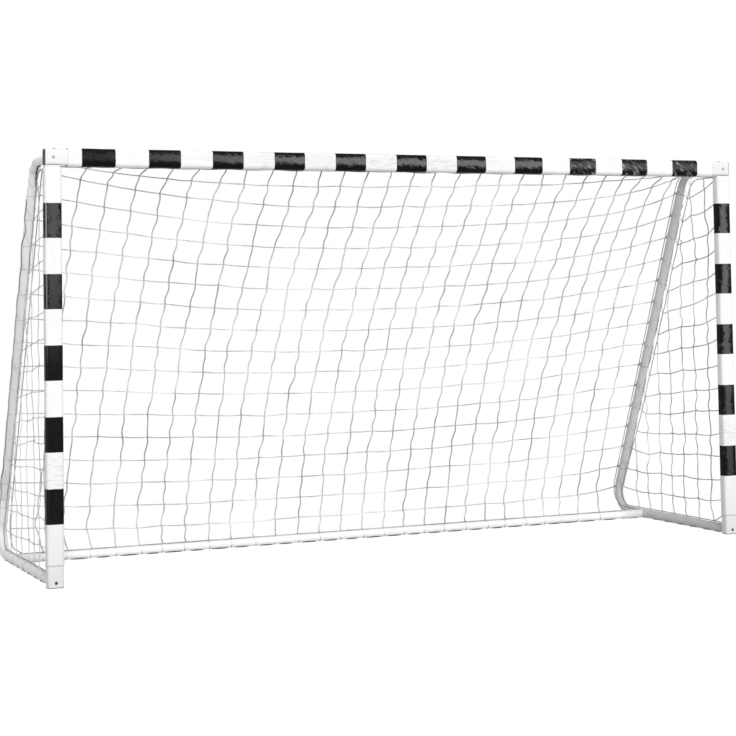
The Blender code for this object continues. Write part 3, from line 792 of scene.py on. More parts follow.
class GOAL_OT_caps(bpy.types.Operator):
    """Make the black caps of the crossbar's ends and the posts' feet"""

    bl_idname = "goal.caps"
    bl_label = "Caps"

    def execute(self, context):
        for side, name in SIDES.items():
            node = f"crossbar_end_cap_{name}"
            size, centre = extent(node), middle(node)
            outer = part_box(node)[1 if side > 0 else 0].x
            place = stood((outer, centre.y, centre.z), -side * pi / 2)
            self.cap(f"crossbar_cap_{name}", node, place, (size.z, size.y, size.x))
            node = f"post_foot_cap_{name}"
            centre = middle(node)
            place = stood((centre.x, centre.y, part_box(node)[0].z))
            self.cap(f"foot_cap_{name}", node, place, extent(node))
        return {"FINISHED"}

    def cap(self, name, node, place, size):
        """One cap of a width, depth and height."""
        width, depth, height = size
        finished(name, plastic_cap(place, width, depth, height - FLANGE),
                 black_plastic(f"{name}_plastic"), [node], edge=SMALL_EDGE)


# A weld bead's points and ripples
BEAD_STEPS = 72
BEAD_RIPPLE = 0.0004
BEAD_WAVER = 0.0003

# How far a socket reaches into the ground tube, and the chamfers at a swaged neck
SOCKET_INSIDE = 0.006
NECK_EASE = 0.002
NECK_STEP = 0.0005
PLUG_EASE = 0.0015
PLUG_STEP = 0.0004


def weld_bead(x, side):
    """A rippled bead where a socket's round meets the ground tube's round."""
    sizes = bpy.context.scene.goal_frame
    path = []
    for step in range(BEAD_STEPS):
        angle = 2 * pi * step / BEAD_STEPS
        radius = sizes.socket_radius + BEAD_RIPPLE * sin(step * 2.1)
        up = radius * sin(angle)
        out = (SIDE_RADIUS ** 2 - min(up ** 2, 0.9 * SIDE_RADIUS ** 2)) ** 0.5
        path.append(Vector((x - side * (out + 2 * BEAD_WAVER + BEAD_WAVER * cos(step * 1.7)),
                            REAR_BAR_Y + radius * cos(angle),
                            max(SIDE_RADIUS + up * 0.985, sizes.weld / 2 + FIT))))
    return path


class GOAL_OT_side_frames(bpy.types.Operator):
    """Make the elbows, stays and ground tubes with their sockets and welds"""

    bl_idname = "goal.side_frames"
    bl_label = "Side frames"

    def execute(self, context):
        sizes = context.scene.goal_frame
        corner = side_corner()
        down = Vector((0, sin(stay_tilt()), -cos(stay_tilt())))
        front_y = FRONT_BACK_Y + FIT
        joint = point_on_stay(sizes.joint_height)
        inside = corner + down * (sizes.elbow_showing + sizes.plug_length)
        elbow_route = bent_route(Vector((0, front_y, CROSSBAR_Z)), corner, inside,
                                 sizes.elbow_radius)
        ground_route = bent_route(Vector((0, front_y, SIDE_RADIUS)), point_on_stay(SIDE_RADIUS),
                                  joint, sizes.ground_radius)
        stay = self.stay_profile(sizes, (corner - joint).length - sizes.elbow_showing)
        start, far = SIDE_RADIUS - SOCKET_INSIDE, SIDE_RADIUS + sizes.socket_length
        bore = PLUG_RADIUS + FIT
        socket = [(sizes.socket_radius, far), (sizes.socket_radius, start), (bore, start), (bore, far)]
        for side, name in SIDES.items():
            x = side * POST_X
            # The left side gets painted light on top, the right side painted shade.
            shade, painted_top_light = (1.0, 1.0) if side < 0 else (RIGHT_SIDE_PAINTED_SHADE, 0.0)
            elbow = swept_tube(elbow_route, PLUG_RADIUS, x)
            painted(f"elbow_tube_{name}", elbow, [f"elbow_{name}"],
                    RIGHT_ELBOW_SHADE if side > 0 else shade, painted_top_light, wall=sizes.plug_wall)
            lean = stood(joint + Vector((x, 0, 0)), stay_tilt(), "X")
            painted(f"stay_tube_{name}", turned(stay, lean), [f"stay_{name}"], shade, painted_top_light)
            tube = swept_tube(ground_route, SIDE_RADIUS, x)
            painted(f"ground_bend_{name}", tube, [f"ground_tube_{name}"], GROUND_SHADES[side],
                    wall=sizes.side_wall)
            place = stood((x, REAR_BAR_Y, SIDE_RADIUS), -side * pi / 2)
            painted(f"rear_socket_{name}", turned(socket, place), ())
            bead = bmesh.new()
            cords(bead, [weld_bead(x, side)], sizes.weld, closed=True, sides=8)
            finished(f"socket_weld_{name}", bead, weld_paint(f"weld_paint_{name}"))
        return {"FINISHED"}

    def stay_profile(self, sizes, length):
        """A stay's wall from its upper mouth to its swaged plug, as (radius, height) points."""
        plug, wall, shoulder = PLUG_RADIUS, sizes.side_wall, sizes.neck + FIT
        return [
            (SIDE_RADIUS, length), (SIDE_RADIUS, shoulder + NECK_EASE),
            (SIDE_RADIUS - NECK_STEP, shoulder), (plug + PLUG_STEP, PLUG_EASE), (plug, FIT),
            (plug, -sizes.plug_length), (plug - wall, -sizes.plug_length), (plug - wall, FIT),
            (SIDE_RADIUS - wall, shoulder), (SIDE_RADIUS - wall, length),
        ]


class GOAL_OT_rear_bar(bpy.types.Operator):
    """Make the rear bar's three sections with their swaged joints"""

    bl_idname = "goal.rear_bar"
    bl_label = "Rear bar"

    def execute(self, context):
        sizes = context.scene.goal_frame
        lay = stood((0, REAR_BAR_Y, SIDE_RADIUS), pi / 2)
        wall = sizes.plug_wall
        inside = PLUG_RADIUS - wall
        for name in SIDES.values():
            low, high = (corner.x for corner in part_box(f"rear_bar_{name}"))
            profile = [(PLUG_RADIUS, high), (PLUG_RADIUS, low), (inside, low), (inside, high)]
            painted(f"rear_tube_{name}", turned(profile, lay), [f"rear_bar_{name}"],
                    REAR_BAR_SHADE, edge=TUBE_EDGE)
        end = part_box("rear_bar_middle")[1].x
        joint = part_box("rear_bar_right")[0].x
        half = [(inside - FIT, end), (inside - FIT, joint),
                (PLUG_RADIUS - NECK_STEP, joint - sizes.neck),
                (PLUG_RADIUS, joint - sizes.neck - NECK_EASE)]
        outer = half + [(radius, -height) for radius, height in reversed(half)]
        profile = outer + [(radius - wall, height) for radius, height in reversed(outer)]
        painted("rear_tube_middle", turned(profile, lay), ["rear_bar_middle"], REAR_BAR_SHADE)
        return {"FINISHED"}


# Sizes of the button head bolts, and how bright each one's zinc is, as painted light and shade on
# copies of one zinc
HEAD_RADIUS = 0.0115 / 2
SHANK_RADIUS = 0.006 / 2
HEXAGON_RADIUS = 0.004 / 2 / cos(pi / 6)
HEXAGON_DEPTH = 0.0018
HEAD_CHAMFER = 0.0004
SHANK_CHAMFER = 0.0008
BOLT_SIDES = 36
SCREW_SHADES = {"corner": 1.5, "foot": 0.25, "top": 1.0}


def button_bolt(place, reach, crown):
    """A button head bolt with a domed crown, a hexagonal socket and a chamfered shank."""
    head, shank = HEAD_RADIUS, SHANK_RADIUS
    bm = bmesh.new()
    bmesh.ops.create_circle(bm, segments=6, radius=HEXAGON_RADIUS, matrix=stood((0, 0, crown)))
    rim = bm.edges[:]
    floor = verts_in(bmesh.ops.extrude_edge_only(bm, edges=rim)["geom"])
    bmesh.ops.translate(bm, verts=floor, vec=(0, 0, -HEXAGON_DEPTH))
    bmesh.ops.contextual_create(bm, geom=floor)
    dome = [(head * 0.55, crown), (head * 0.72, crown * 0.90), (head * 0.86, crown * 0.68),
            (head * 0.96, crown * 0.38), (head, FIT + HEAD_CHAMFER), (head - HEAD_CHAMFER, FIT),
            (shank, FIT), (shank, SHANK_CHAMFER - reach), (shank - SHANK_CHAMFER, -reach)]
    before = set(bm.verts)
    bmesh.ops.create_circle(bm, segments=BOLT_SIDES, radius=dome[0][0], matrix=stood((0, 0, crown)))
    ring = [edge for edge in bm.edges if not before & set(edge.verts)]
    bmesh.ops.bridge_loops(bm, edges=rim + ring)
    for (radius, height), (next_radius, next_height) in zip(dome, dome[1:]):
        drawn = bmesh.ops.extrude_edge_only(bm, edges=ring)["geom"]
        verts = verts_in(drawn)
        shrink = next_radius / radius
        bmesh.ops.scale(bm, verts=verts, vec=(shrink, shrink, 1))
        bmesh.ops.translate(bm, verts=verts, vec=(0, 0, next_height - height))
        ring = [item for item in drawn if isinstance(item, bmesh.types.BMEdge)
                and all(vert in verts for vert in item.verts)]
    bmesh.ops.contextual_create(bm, geom=ring)
    bmesh.ops.recalc_face_normals(bm, faces=bm.faces)
    bmesh.ops.transform(bm, matrix=place, verts=bm.verts)
    return bm


class GOAL_OT_bolts(bpy.types.Operator):
    """Make the button head bolts of the corners, the feet and the crossbar's top"""

    bl_idname = "goal.bolts"
    bl_label = "Bolts"

    def execute(self, context):
        for name in SIDES.values():
            for kind, turn in (("corner", pi / 2), ("foot", pi / 2), ("top", 0.0)):
                node = f"{kind}_bolt_{name}"
                (low, high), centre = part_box(node), middle(node)
                if kind == "top":
                    seat = Vector((centre.x, centre.y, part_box(f"crossbar_{name}")[1].z))
                    reach = seat.z - low.z
                    crown = high.z - seat.z
                else:
                    seat = Vector((centre.x, FRONT_Y, centre.z))
                    reach = high.y - seat.y
                    crown = seat.y - low.y
                zinc = zinc_steel(f"{kind}_screw_zinc_{name}", SCREW_SHADES[kind])
                finished(f"{kind}_screw_{name}", button_bolt(stood(seat, turn, "X"), reach, crown),
                         zinc, [node], sharp=0.5)
        return {"FINISHED"}


# Steps of a sleeve's grid, where its flap lifts off, and how far its ends lie flatter
AROUND_STEP = 0.0034
ALONG_STEP = 0.0062
CORNER_STEPS = 6
FLAP_CLEARANCE = 0.0005
FLAP_LIFTS_FROM = 0.012
FLAP_LIFTED_AT = 0.004
FLAT_END = 0.05


def wrap_outline(half_across, half_deep, corner, flap, lift):
    """Section of a sleeve: from the middle of its back all the way round and over its start."""
    flat = Vector((half_across - corner, half_deep - corner))
    end = flap / 2
    round_points = []
    for quarter, (across, deep) in enumerate(((-1, 1), (-1, -1), (1, -1), (1, 1))):
        for step in range(CORNER_STEPS + 1):
            angle = pi / 2 * (1 + quarter + step / CORNER_STEPS)
            round_points.append(Vector((across * flat.x + corner * cos(angle),
                                        deep * flat.y + corner * sin(angle), 0)))
    lifted = [Vector((end + FLAP_LIFTS_FROM, half_deep, 0)),
              Vector((end + FLAP_LIFTED_AT, half_deep + lift, 0)),
              Vector((-end, half_deep + lift * 1.1, 0))]
    return [Vector((end, half_deep, 0)), *round_points, *lifted]


def folds(place, strength):
    """Height of the vinyl's folds at a place on a bar along Z, from long waves to small creases."""
    x, y, z = place
    broad = wander(z * 4.5, x * 14.0, y * 14.0 + 7.0)
    crossing = wander(z * 13.0, x * 30.0, y * 30.0)
    slanted = wander(z * 38.0 + x * 40.0, x * 9.0, y * 9.0 + 3.0)
    crease = 1.0 - min(1.0, abs(slanted) * 5.0)
    local = 0.5 + 0.5 * wander(z * 2.2, 11.0, 5.0)
    return strength * (0.55 * broad + 0.45 * crossing + 0.55 * crease * crease * local)


def build_sleeve(name, node, axis, material, strength, hem_sag):
    """A sheet of vinyl wrapped round a front tube, closed by a flap at the back."""
    look = bpy.context.scene.goal_sleeves
    low, centre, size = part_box(node)[0], middle(node), extent(node)
    if axis == "X":
        across, length, begin = size.z, size.x, low.x
        place = Matrix(((0, 0, 1, 0), (0, 1, 0, centre.y), (1, 0, 0, centre.z), (0, 0, 0, 1)))
    else:
        across, length, begin = size.x, size.z, low.z
        place = Matrix(((1, 0, 0, centre.x), (0, 1, 0, centre.y), (0, 0, 1, 0), (0, 0, 0, 1)))
    corner = bpy.context.scene.goal_frame.front_corner + (across - FRONT_FACE) / 2
    lift = look.thickness + FLAP_CLEARANCE
    outline = wrap_outline(across / 2, size.y / 2, corner, look.flap, lift)
    bm = bmesh.new()
    points = [bm.verts.new(point + Vector((0, 0, begin))) for point in evenly(outline, AROUND_STEP)]
    edges = [bm.edges.new(pair) for pair in zip(points, points[1:])]
    drawn = bmesh.ops.extrude_edge_only(bm, edges=edges)["geom"]
    bmesh.ops.translate(bm, vec=(0, 0, length), verts=verts_in(drawn))
    lengthwise = long_edges(bm, length / 2)
    bmesh.ops.subdivide_edges(bm, edges=lengthwise, cuts=round(length / ALONG_STEP),
                              use_grid_fill=True)
    if sum(face.normal.xy.dot(face.calc_center_median().xy) for face in bm.faces) < 0:
        bmesh.ops.reverse_faces(bm, faces=bm.faces)
    bm.normal_update()
    shifts = {}
    for vert in bm.verts:
        end = min(vert.co.z - begin, begin + length - vert.co.z)
        free = min(1.0, 0.25 + end / FLAT_END)
        height = folds(vert.co, strength) * free + strength * 0.25
        low_edge = max(0.0, -vert.co.x - across * 0.30) / (across * 0.2)
        sag = hem_sag * low_edge * (0.6 + 0.9 * wander(vert.co.z * 9.0, 4.0, 2.0))
        shifts[vert] = vert.normal * height - Vector((sag, 0, 0))
    for vert, shift in shifts.items():
        vert.co += shift
    bmesh.ops.transform(bm, matrix=place, verts=bm.verts)
    if place.determinant() < 0:
        bmesh.ops.reverse_faces(bm, faces=bm.faces)
    piece = finished(name, bm, material, [node], wall=look.thickness, sharp=pi,
                     even=False)
    return piece, route_length(outline), length


# Counts of the black stripes, heights of the posts' top ones, and the sag of the crossbar's hem
CROSSBAR_STRIPES = 11
POST_STRIPES = 5
TOP_POST_STRIPE = {-1: 1.3360, 1: 1.3550}
HEM_SAG = 0.0012


class GOAL_OT_sleeves(bpy.types.Operator):
    """Wrap the striped vinyl around the crossbar and both posts"""

    bl_idname = "goal.sleeves"
    bl_label = "Sleeves"

    def execute(self, context):
        look = context.scene.goal_sleeves
        # Painted sheen on the black stripes; the crossbar's right part also gets painted wrinkle
        # highlights, the left post a painted highlight line.
        band = Band("Z", CROSSBAR_Z + 0.004, 0.018, 0.150, fade_from=-1.3, fade_over=0.9,
                    least=0.12, streaked_from=0.6)
        vinyl = striped_vinyl("crossbar_vinyl", "X", look.first_stripe, look.stripe_pitch,
                              CROSSBAR_STRIPES, band, uneven=0.010, rumple_shade_at=(-0.25, 1.3))
        piece, girth, length = build_sleeve("crossbar_wrap", "crossbar_sleeve", "X", vinyl,
                                            look.fold_height, HEM_SAG)
        bands = {
            -1: Band("X", -POST_X, 0.030, 0.080, fade_from=0.80, fade_over=0.45, least=0.03,
                     edge_highlight=-POST_X - 0.0275),
            1: Band("X", POST_X - 0.006, 0.022, 0.125, fade_from=0.25, fade_over=0.9, least=0.3),
        }
        for side, name in SIDES.items():
            lowest = TOP_POST_STRIPE[side] - (POST_STRIPES - 1) * look.post_pitch
            vinyl = striped_vinyl(f"post_vinyl_{name}", "Z", lowest, look.post_pitch, POST_STRIPES,
                                  bands[side], rumple_shade_at=(0.39, 0.20))
            piece, girth, length = build_sleeve(f"post_wrap_{name}", f"post_sleeve_{name}", "Z",
                                                vinyl, look.fold_height * 0.8, 0.0)
        return {"FINISHED"}


# Shape of the back net, as it hangs: rows counted down from the crossbar
NET_TOP_Z = 1.520
NET_HEM_Z = 1.545
EDGE_TOP_Z = 1.560
NET_SEAT = FIT + 0.002
NET_LOW_Z = 2 * SIDE_RADIUS + NET_SEAT
NET_HALF = POST_X - SIDE_RADIUS - NET_SEAT
EDGE_CORD_X = NET_HALF - 0.010
EDGE_BEND = 0.08
FIRST_ROW = 0.0469
ROW_PITCH = 0.0955
ROW_EASE = -0.1179
SAG_TOP = 0.0057
SAG_CHANGE = -0.0358
SAG_MIDDLE = 0.0836
LEAN_TOP = -0.0302
LEAN_CHANGE = 0.0215
WING_START = {-1: 0.0, 1: 0.117}
WING_POWER = {-1: 3.02, 1: 4.0}
EDGE_FIRST = {-1: 0.0515, 1: 0.0117}
EDGE_PITCH = {-1: 0.1036, 1: 0.1053}
FIRST_COLUMN = -1.302
DRIFT = 0.090
HEM_SHIFT = 0.010

# Columns past this one stand wider apart at the first row, closer at the hem and the rear bar
LAST_EVEN = 24
WIDENING = 0.017
WIDENING_POWER = 1.55
HEM_CLOSING = 0.030
FOOT_CLOSING = 0.020

# How far the back's knots stray at the hem and in rows, and how far its level twines sag
HEM_STRAY = 0.012
ROW_STRAY = 0.02
BACK_SAG = 0.0022

# Sizes and shades against the twine: knots at the back's edges, and twines of the sides, painted
# lighter on the left and darker on the right as painted light and shade
EDGE_KNOTS = {-1: (1.9, 1.2), 1: (2.6, 0.45)}
SIDE_TWINES = {-1: (0.80, 1.35), 1: (1.15, 1.06)}

# Shape of a side net: rows counted down from the elbow, columns back from the post
SIDE_GAP = 0.062
SIDE_TOP_ROW = 1.501
SIDE_ROW_PITCH = 0.0981
SIDE_SLOPE = 0.22
SIDE_LEVEL_Y = -0.36
SIDE_FIRST_COLUMN = 0.1055
SIDE_COLUMN_PITCH = 0.1005
BORDER_DROP = 0.016
BORDER_MIDDLE_Z = 0.50
BORDER_LOW_Z = 0.25
BORDER_BEND = 0.08
BORDER_LOW_BEND = 0.062
BULGE = 0.022
BULGE_Z = 1.2
BULGE_REACH = 0.1
END_CLEARANCE = 0.030
TOP_CLEARANCE = 0.015
FOOT_TIE_Z = 0.085
SIDE_SAG = 0.004
SIDE_SWAY = 1.9
LAST_HIGH_ROW = 9
LOW_ROW_LIFT = 0.018
LAST_RISING_ROW = 7
FRONT_RISE = 0.020
LOW_FRONT_RISE = 0.005

# Steps of the lines that cords follow, and a knot's size in twines
LINE_STEP = 0.012
ACROSS_STEPS = 120
LOOP_STEPS = 18
LOW_RUN_STEPS = 8
KNOT_SIZE = 1.9

# Lacing: the corner tie, the low runs beside a tube, and heights of twine and ties on a stay
CORNER_TIE = 0.0055
CORNER_TIE_REACH = 1.15
CORNER_TIE_LOW_Z = 1.480
CORNER_TIE_FROM = -12
CORNER_TIE_TURN = 44
LOW_RUN_SHIFT = 0.05
LOW_RUN_HALF = (0.026, 0.038)
LOW_RUN_TURN = (58, 62)
LOW_RUN_DIP = 26
TWINE_FROM_Z = 0.13
TWINE_TO_Z = 1.44
LOWEST_TIE_Z = 0.12
ELBOW_FROM_Z = 1.46


class NetShape:
    """Where the back net's rows, columns and edges lie."""

    def __init__(self, sizes):
        self.sizes = sizes
        self.top = Vector((0, SLEEVE_BACK_Y + NET_SEAT, NET_TOP_Z))
        self.bottom = Vector((0, REAR_BAR_Y, NET_LOW_Z))
        self.edge = side_route(Vector((0, self.top.y, EDGE_TOP_Z)), NET_LOW_Z, self.bottom,
                               EDGE_BEND)
        self.drop = (self.bottom - self.top).length

    def column(self, index):
        """Place across of an upright twine at the first row."""
        return (FIRST_COLUMN + self.sizes.column_pitch * index
                + WIDENING * max(0, index - LAST_EVEN) ** WIDENING_POWER)

    def hem(self, index):
        """Place across of an upright twine at the crossbar."""
        return (FIRST_COLUMN + HEM_SHIFT + self.sizes.column_pitch * index
                - HEM_CLOSING * max(0, index - LAST_EVEN))

    def drifted(self, index, row):
        """Place across of an upright twine at a row: it leans to the left on the way down."""
        x = self.column(index)
        share = row / (self.sizes.rows + 1)
        from_right = (NET_HALF - x) / (2 * NET_HALF)
        low = max(0.0, (share - 0.6) / 0.4) ** 2
        return (x - DRIFT * (1.15 - from_right ** 3) * sin(pi * (share - 0.056) / 1.16)
                - low * (0.006 + 0.034 * from_right ** 4))

    def foot(self, index):
        """Place across of an upright twine on the rear bar."""
        return (self.drifted(index, self.sizes.rows + 1)
                - FOOT_CLOSING * max(0, index - LAST_EVEN + 1))

    def point(self, x, row):
        """The net's surface at a place across and a row."""
        share = row / (self.sizes.rows + 1)
        swell = 4 * share * (1 - share)
        belly = 1 - (x / NET_HALF) ** 2
        travel = (FIRST_ROW + ROW_PITCH * (row - 1) + ROW_EASE * swell
                  + belly * (SAG_TOP + SAG_CHANGE * share + SAG_MIDDLE * swell)
                  + x / NET_HALF * (LEAN_TOP + LEAN_CHANGE * share))
        place = self.top + (self.bottom - self.top) * (travel / self.drop)
        side = 1 if x > 0 else -1
        beyond = max(0.0, abs(x) - WING_START[side]) / (NET_HALF - WING_START[side])
        edge = at_length(self.edge, EDGE_FIRST[side] + EDGE_PITCH[side] * row)
        place = place.lerp(edge, min(1.0, beyond) ** WING_POWER[side])
        return Vector((x, place.y, place.z))


def swung(first, second, draw, sway, stray, steps=8):
    """Points of a slack twine between two knots, without the second knot."""
    swing = draw.uniform(0.25, 1.25)
    skew = draw.uniform(-0.5, 0.5)
    drift = draw.uniform(-0.7, 0.7)
    points = []
    for step in range(steps):
        share = step / steps
        wave = sin(2 * pi * share) + 0.45 * skew * (1 - cos(2 * pi * share))
        points.append(first.lerp(second, share) + sway * (swing * wave)
                      + stray * (drift * sin(pi * share)))
    return points


def level(first, second, draw, sag, steps=4):
    """Points of a nearly straight twine between two knots, without the second knot."""
    low = draw.uniform(0.2, 1.0) * sag
    bow = draw.uniform(-1.0, 1.0) * sag
    return [first.lerp(second, step / steps)
            + Vector((0, bow, -low)) * sin(pi * step / steps) for step in range(steps)]


def strung(stops, between):
    """A path through stops, with the points that a function puts between each two."""
    path = []
    for first, second in zip(stops, stops[1:]):
        path += between(first, second)
    return [*path, stops[-1]]


class GOAL_OT_back_net(bpy.types.Operator):
    """Knot the back of the net from the crossbar down to the rear bar"""

    bl_idname = "goal.back_net"
    bl_label = "Back net"

    def execute(self, context):
        sizes = context.scene.goal_net
        shape = NetShape(sizes)
        draw = random.Random(27)
        rows = range(1, sizes.rows + 1)
        grid = [self.column(shape, index, rows, sizes.unevenness, draw)
                for index in range(sizes.columns)]
        sway, stray = Vector((sizes.slack, 0, 0)), Vector((0, sizes.slack, 0))
        columns = [strung(column, lambda first, second: swung(first, second, draw, sway, stray))
                   for column in grid]
        corded("back_columns", columns, sizes.twine * 1.30, greyed(sizes.colour, 1.02),
               replaced=["net_back"])
        ends = {side: [shape.point(side * EDGE_CORD_X, row) for row in rows] for side in SIDES}
        levels = [strung([left, *(column[row] for column in grid), right],
                         lambda first, second: level(first, second, draw, BACK_SAG))
                  for row, left, right in zip(rows, ends[-1], ends[1])]
        corded("back_rows", levels, sizes.twine * 1.12, greyed(sizes.colour, 1.15))
        for side, name in SIDES.items():
            size, shade = EDGE_KNOTS[side]
            knotted(f"edge_knots_{name}", ends[side], sizes.twine * size,
                    greyed(sizes.colour, shade), draw)
        knotted("back_knots", [column[row] for column in grid for row in rows],
                sizes.twine * KNOT_SIZE, sizes.colour, draw)
        return {"FINISHED"}

    def column(self, shape, index, rows, uneven, draw):
        """The places of an upright twine's knots, from the crossbar to the rear bar."""
        x = shape.hem(index) + draw.uniform(-HEM_STRAY, HEM_STRAY)
        knots = [Vector((x, shape.top.y, NET_HEM_Z))]
        for row in rows:
            x = shape.drifted(index, row) + draw.gauss(0, uneven)
            knots.append(shape.point(x, row + draw.gauss(0, ROW_STRAY)))
        return [*knots, Vector((shape.foot(index), shape.bottom.y, shape.bottom.z))]


class SideShape:
    """Where a side net's rows, columns and border lie, in the goal's middle plane."""

    def __init__(self):
        self.front_y = SLEEVE_BACK_Y + NET_SEAT
        gap = Vector((0, SIDE_GAP, 0))
        under_elbow = CROSSBAR_Z - PLUG_RADIUS - BORDER_DROP
        upper = bent_route(Vector((0, self.front_y, under_elbow)),
                           point_on_stay(under_elbow) - gap * 1.1,
                           point_on_stay(BORDER_MIDDLE_Z) - gap, BORDER_BEND)
        lower = bent_route(point_on_stay(BORDER_LOW_Z) - gap * 0.68,
                           point_on_stay(NET_LOW_Z) - gap * 0.42,
                           Vector((0, self.front_y, NET_LOW_Z)), BORDER_LOW_BEND)
        self.border = evenly(upper + lower, LINE_STEP)

    def height(self, row, y):
        """Height of a row at a distance back from the front."""
        slope = SIDE_SLOPE * (1 - row / bpy.context.scene.goal_net.side_rows)
        return SIDE_TOP_ROW - SIDE_ROW_PITCH * row - slope * (y - SIDE_LEVEL_Y)

    def column(self, index, z):
        """Place of a column at a height: it bulges forward a little below the elbow."""
        return self.even_column(index) - BULGE * exp(-((z - BULGE_Z) / BULGE_REACH) ** 2)

    def even_column(self, index):
        """Place of a column where nothing pulls it forward."""
        return SLEEVE_BACK_Y + SIDE_FIRST_COLUMN + SIDE_COLUMN_PITCH * index

    def row_end(self, row):
        """Where a row meets the border ahead of the stay."""
        lift = LOW_ROW_LIFT if row > LAST_HIGH_ROW else 0.0
        return next(point for point in self.border if point.z <= self.height(row, point.y) + lift)

    def column_top(self, index):
        """Where a column starts on the border."""
        return next(point for point in self.border if point.y >= self.even_column(index))


def side_net_grid(shape, sizes, side, draw):
    """The side net's columns from border to ground, and its rows from post to border."""
    plane = side * POST_X
    rows = [[] for row in range(sizes.side_rows)]
    columns = []
    for index in range(sizes.side_columns):
        top = shape.column_top(index)
        column = [Vector((plane, top.y, top.z))]
        for row in range(sizes.side_rows):
            end = shape.row_end(row)
            z = shape.height(row, shape.column(index, 1.0)) + draw.gauss(0, 0.004)
            y = shape.column(index, z) + draw.gauss(0, 0.005)
            if y < end.y - END_CLEARANCE and z < top.z - TOP_CLEARANCE:
                sway = 0.010 * wander(y * 5.0, z * 4.0, side * 3.0)
                knot = Vector((plane + side * sway, y, z))
                column.append(knot)
                rows[row].append(knot)
        foot = shape.column(index, 0.0) + draw.uniform(-0.012, 0.004)
        column.append(Vector((plane, foot, NET_LOW_Z)))
        columns.append(column)
    for row, knots_in_row in enumerate(rows):
        end = shape.row_end(row)
        rises = row <= LAST_RISING_ROW or row == sizes.side_rows - 1
        rise = FRONT_RISE if rises else LOW_FRONT_RISE
        tie = shape.height(row, shape.front_y) + rise * draw.uniform(0.7, 1.2)
        knots_in_row.insert(0, Vector((plane, shape.front_y, tie)))
        knots_in_row.append(Vector((plane, end.y, end.z)))
    return columns, rows


class GOAL_OT_side_nets(bpy.types.Operator):
    """Knot the two sides of the net between the posts and the stays"""

    bl_idname = "goal.side_nets"
    bl_label = "Side nets"

    def execute(self, context):
        sizes = context.scene.goal_net
        shape = SideShape()
        draw = random.Random(5)
        for side, name in SIDES.items():
            columns, rows = side_net_grid(shape, sizes, side, draw)
            paths = [strung(column, lambda first, second: self.sway(first, second, sizes, draw))
                     for column in columns]
            paths += [strung(row, lambda first, second: level(first, second, draw, SIDE_SAG))
                      for row in rows]
            foot, low = Vector((side * POST_X, shape.front_y, FOOT_TIE_Z)), columns[0][-1]
            paths.append([foot, foot.lerp(low, 0.5) - Vector((0, 0, 0.002)), low])
            thickness, shade = SIDE_TWINES[side]
            colour = greyed(sizes.colour, shade)
            corded(f"side_twine_{name}", paths, sizes.twine * thickness, colour,
                   replaced=[f"net_side_{name}"])
            knotted(f"side_knots_{name}", [knot for row in rows for knot in row[1:]],
                    sizes.twine * KNOT_SIZE, colour, draw)
        return {"FINISHED"}

    def sway(self, first, second, sizes, draw):
        """Points of a side's upright twine, which swings forwards or backwards."""
        sway = Vector((0, sizes.slack * draw.choice((-SIDE_SWAY, SIDE_SWAY)), 0))
        return swung(first, second, draw, sway, Vector((sizes.slack * 0.5, 0, 0)))


def side_frame_line(side):
    """The centre line of elbow, stay and ground tube on one side."""
    route = side_route(Vector((0, SLEEVE_BACK_Y, CROSSBAR_Z)), SIDE_RADIUS,
                       Vector((0, SLEEVE_BACK_Y, SIDE_RADIUS)),
                       bpy.context.scene.goal_frame.ground_radius)
    return [point + Vector((side * POST_X, 0, 0)) for point in evenly(route, LINE_STEP)]


def across_net():
    """Even places across the net, from its left edge to its right one."""
    return [NET_HALF * (step / ACROSS_STEPS - 1) for step in range(2 * ACROSS_STEPS + 1)]


def tie_loop(line, radius, anchor, twine, lead, draw):
    """A loop of twine from a cord's anchor round the tube whose centre line passes by."""
    nearest = min(range(len(line)), key=lambda number: (line[number] - anchor).length)
    index = max(1, min(len(line) - 2, nearest - lead))
    centre = line[index]
    ahead = (line[index + 1] - line[index - 1]).normalized()
    away = anchor - centre
    away -= ahead * away.dot(ahead)
    reach = radius + twine / 2
    start = acos(min(0.985, reach / away.length))
    away.normalize()
    across = ahead.cross(away)
    slant = draw.uniform(0.006, 0.014)
    points = [anchor]
    for step in range(LOOP_STEPS + 1):
        share = step / LOOP_STEPS
        angle = start + (2 * pi - 2 * start) * share
        point = centre + (away * cos(angle) + across * sin(angle)) * reach
        point += ahead * (slant * (share - 0.5))
        point.z = max(point.z, twine / 2 + FIT)
        points.append(point)
    return points


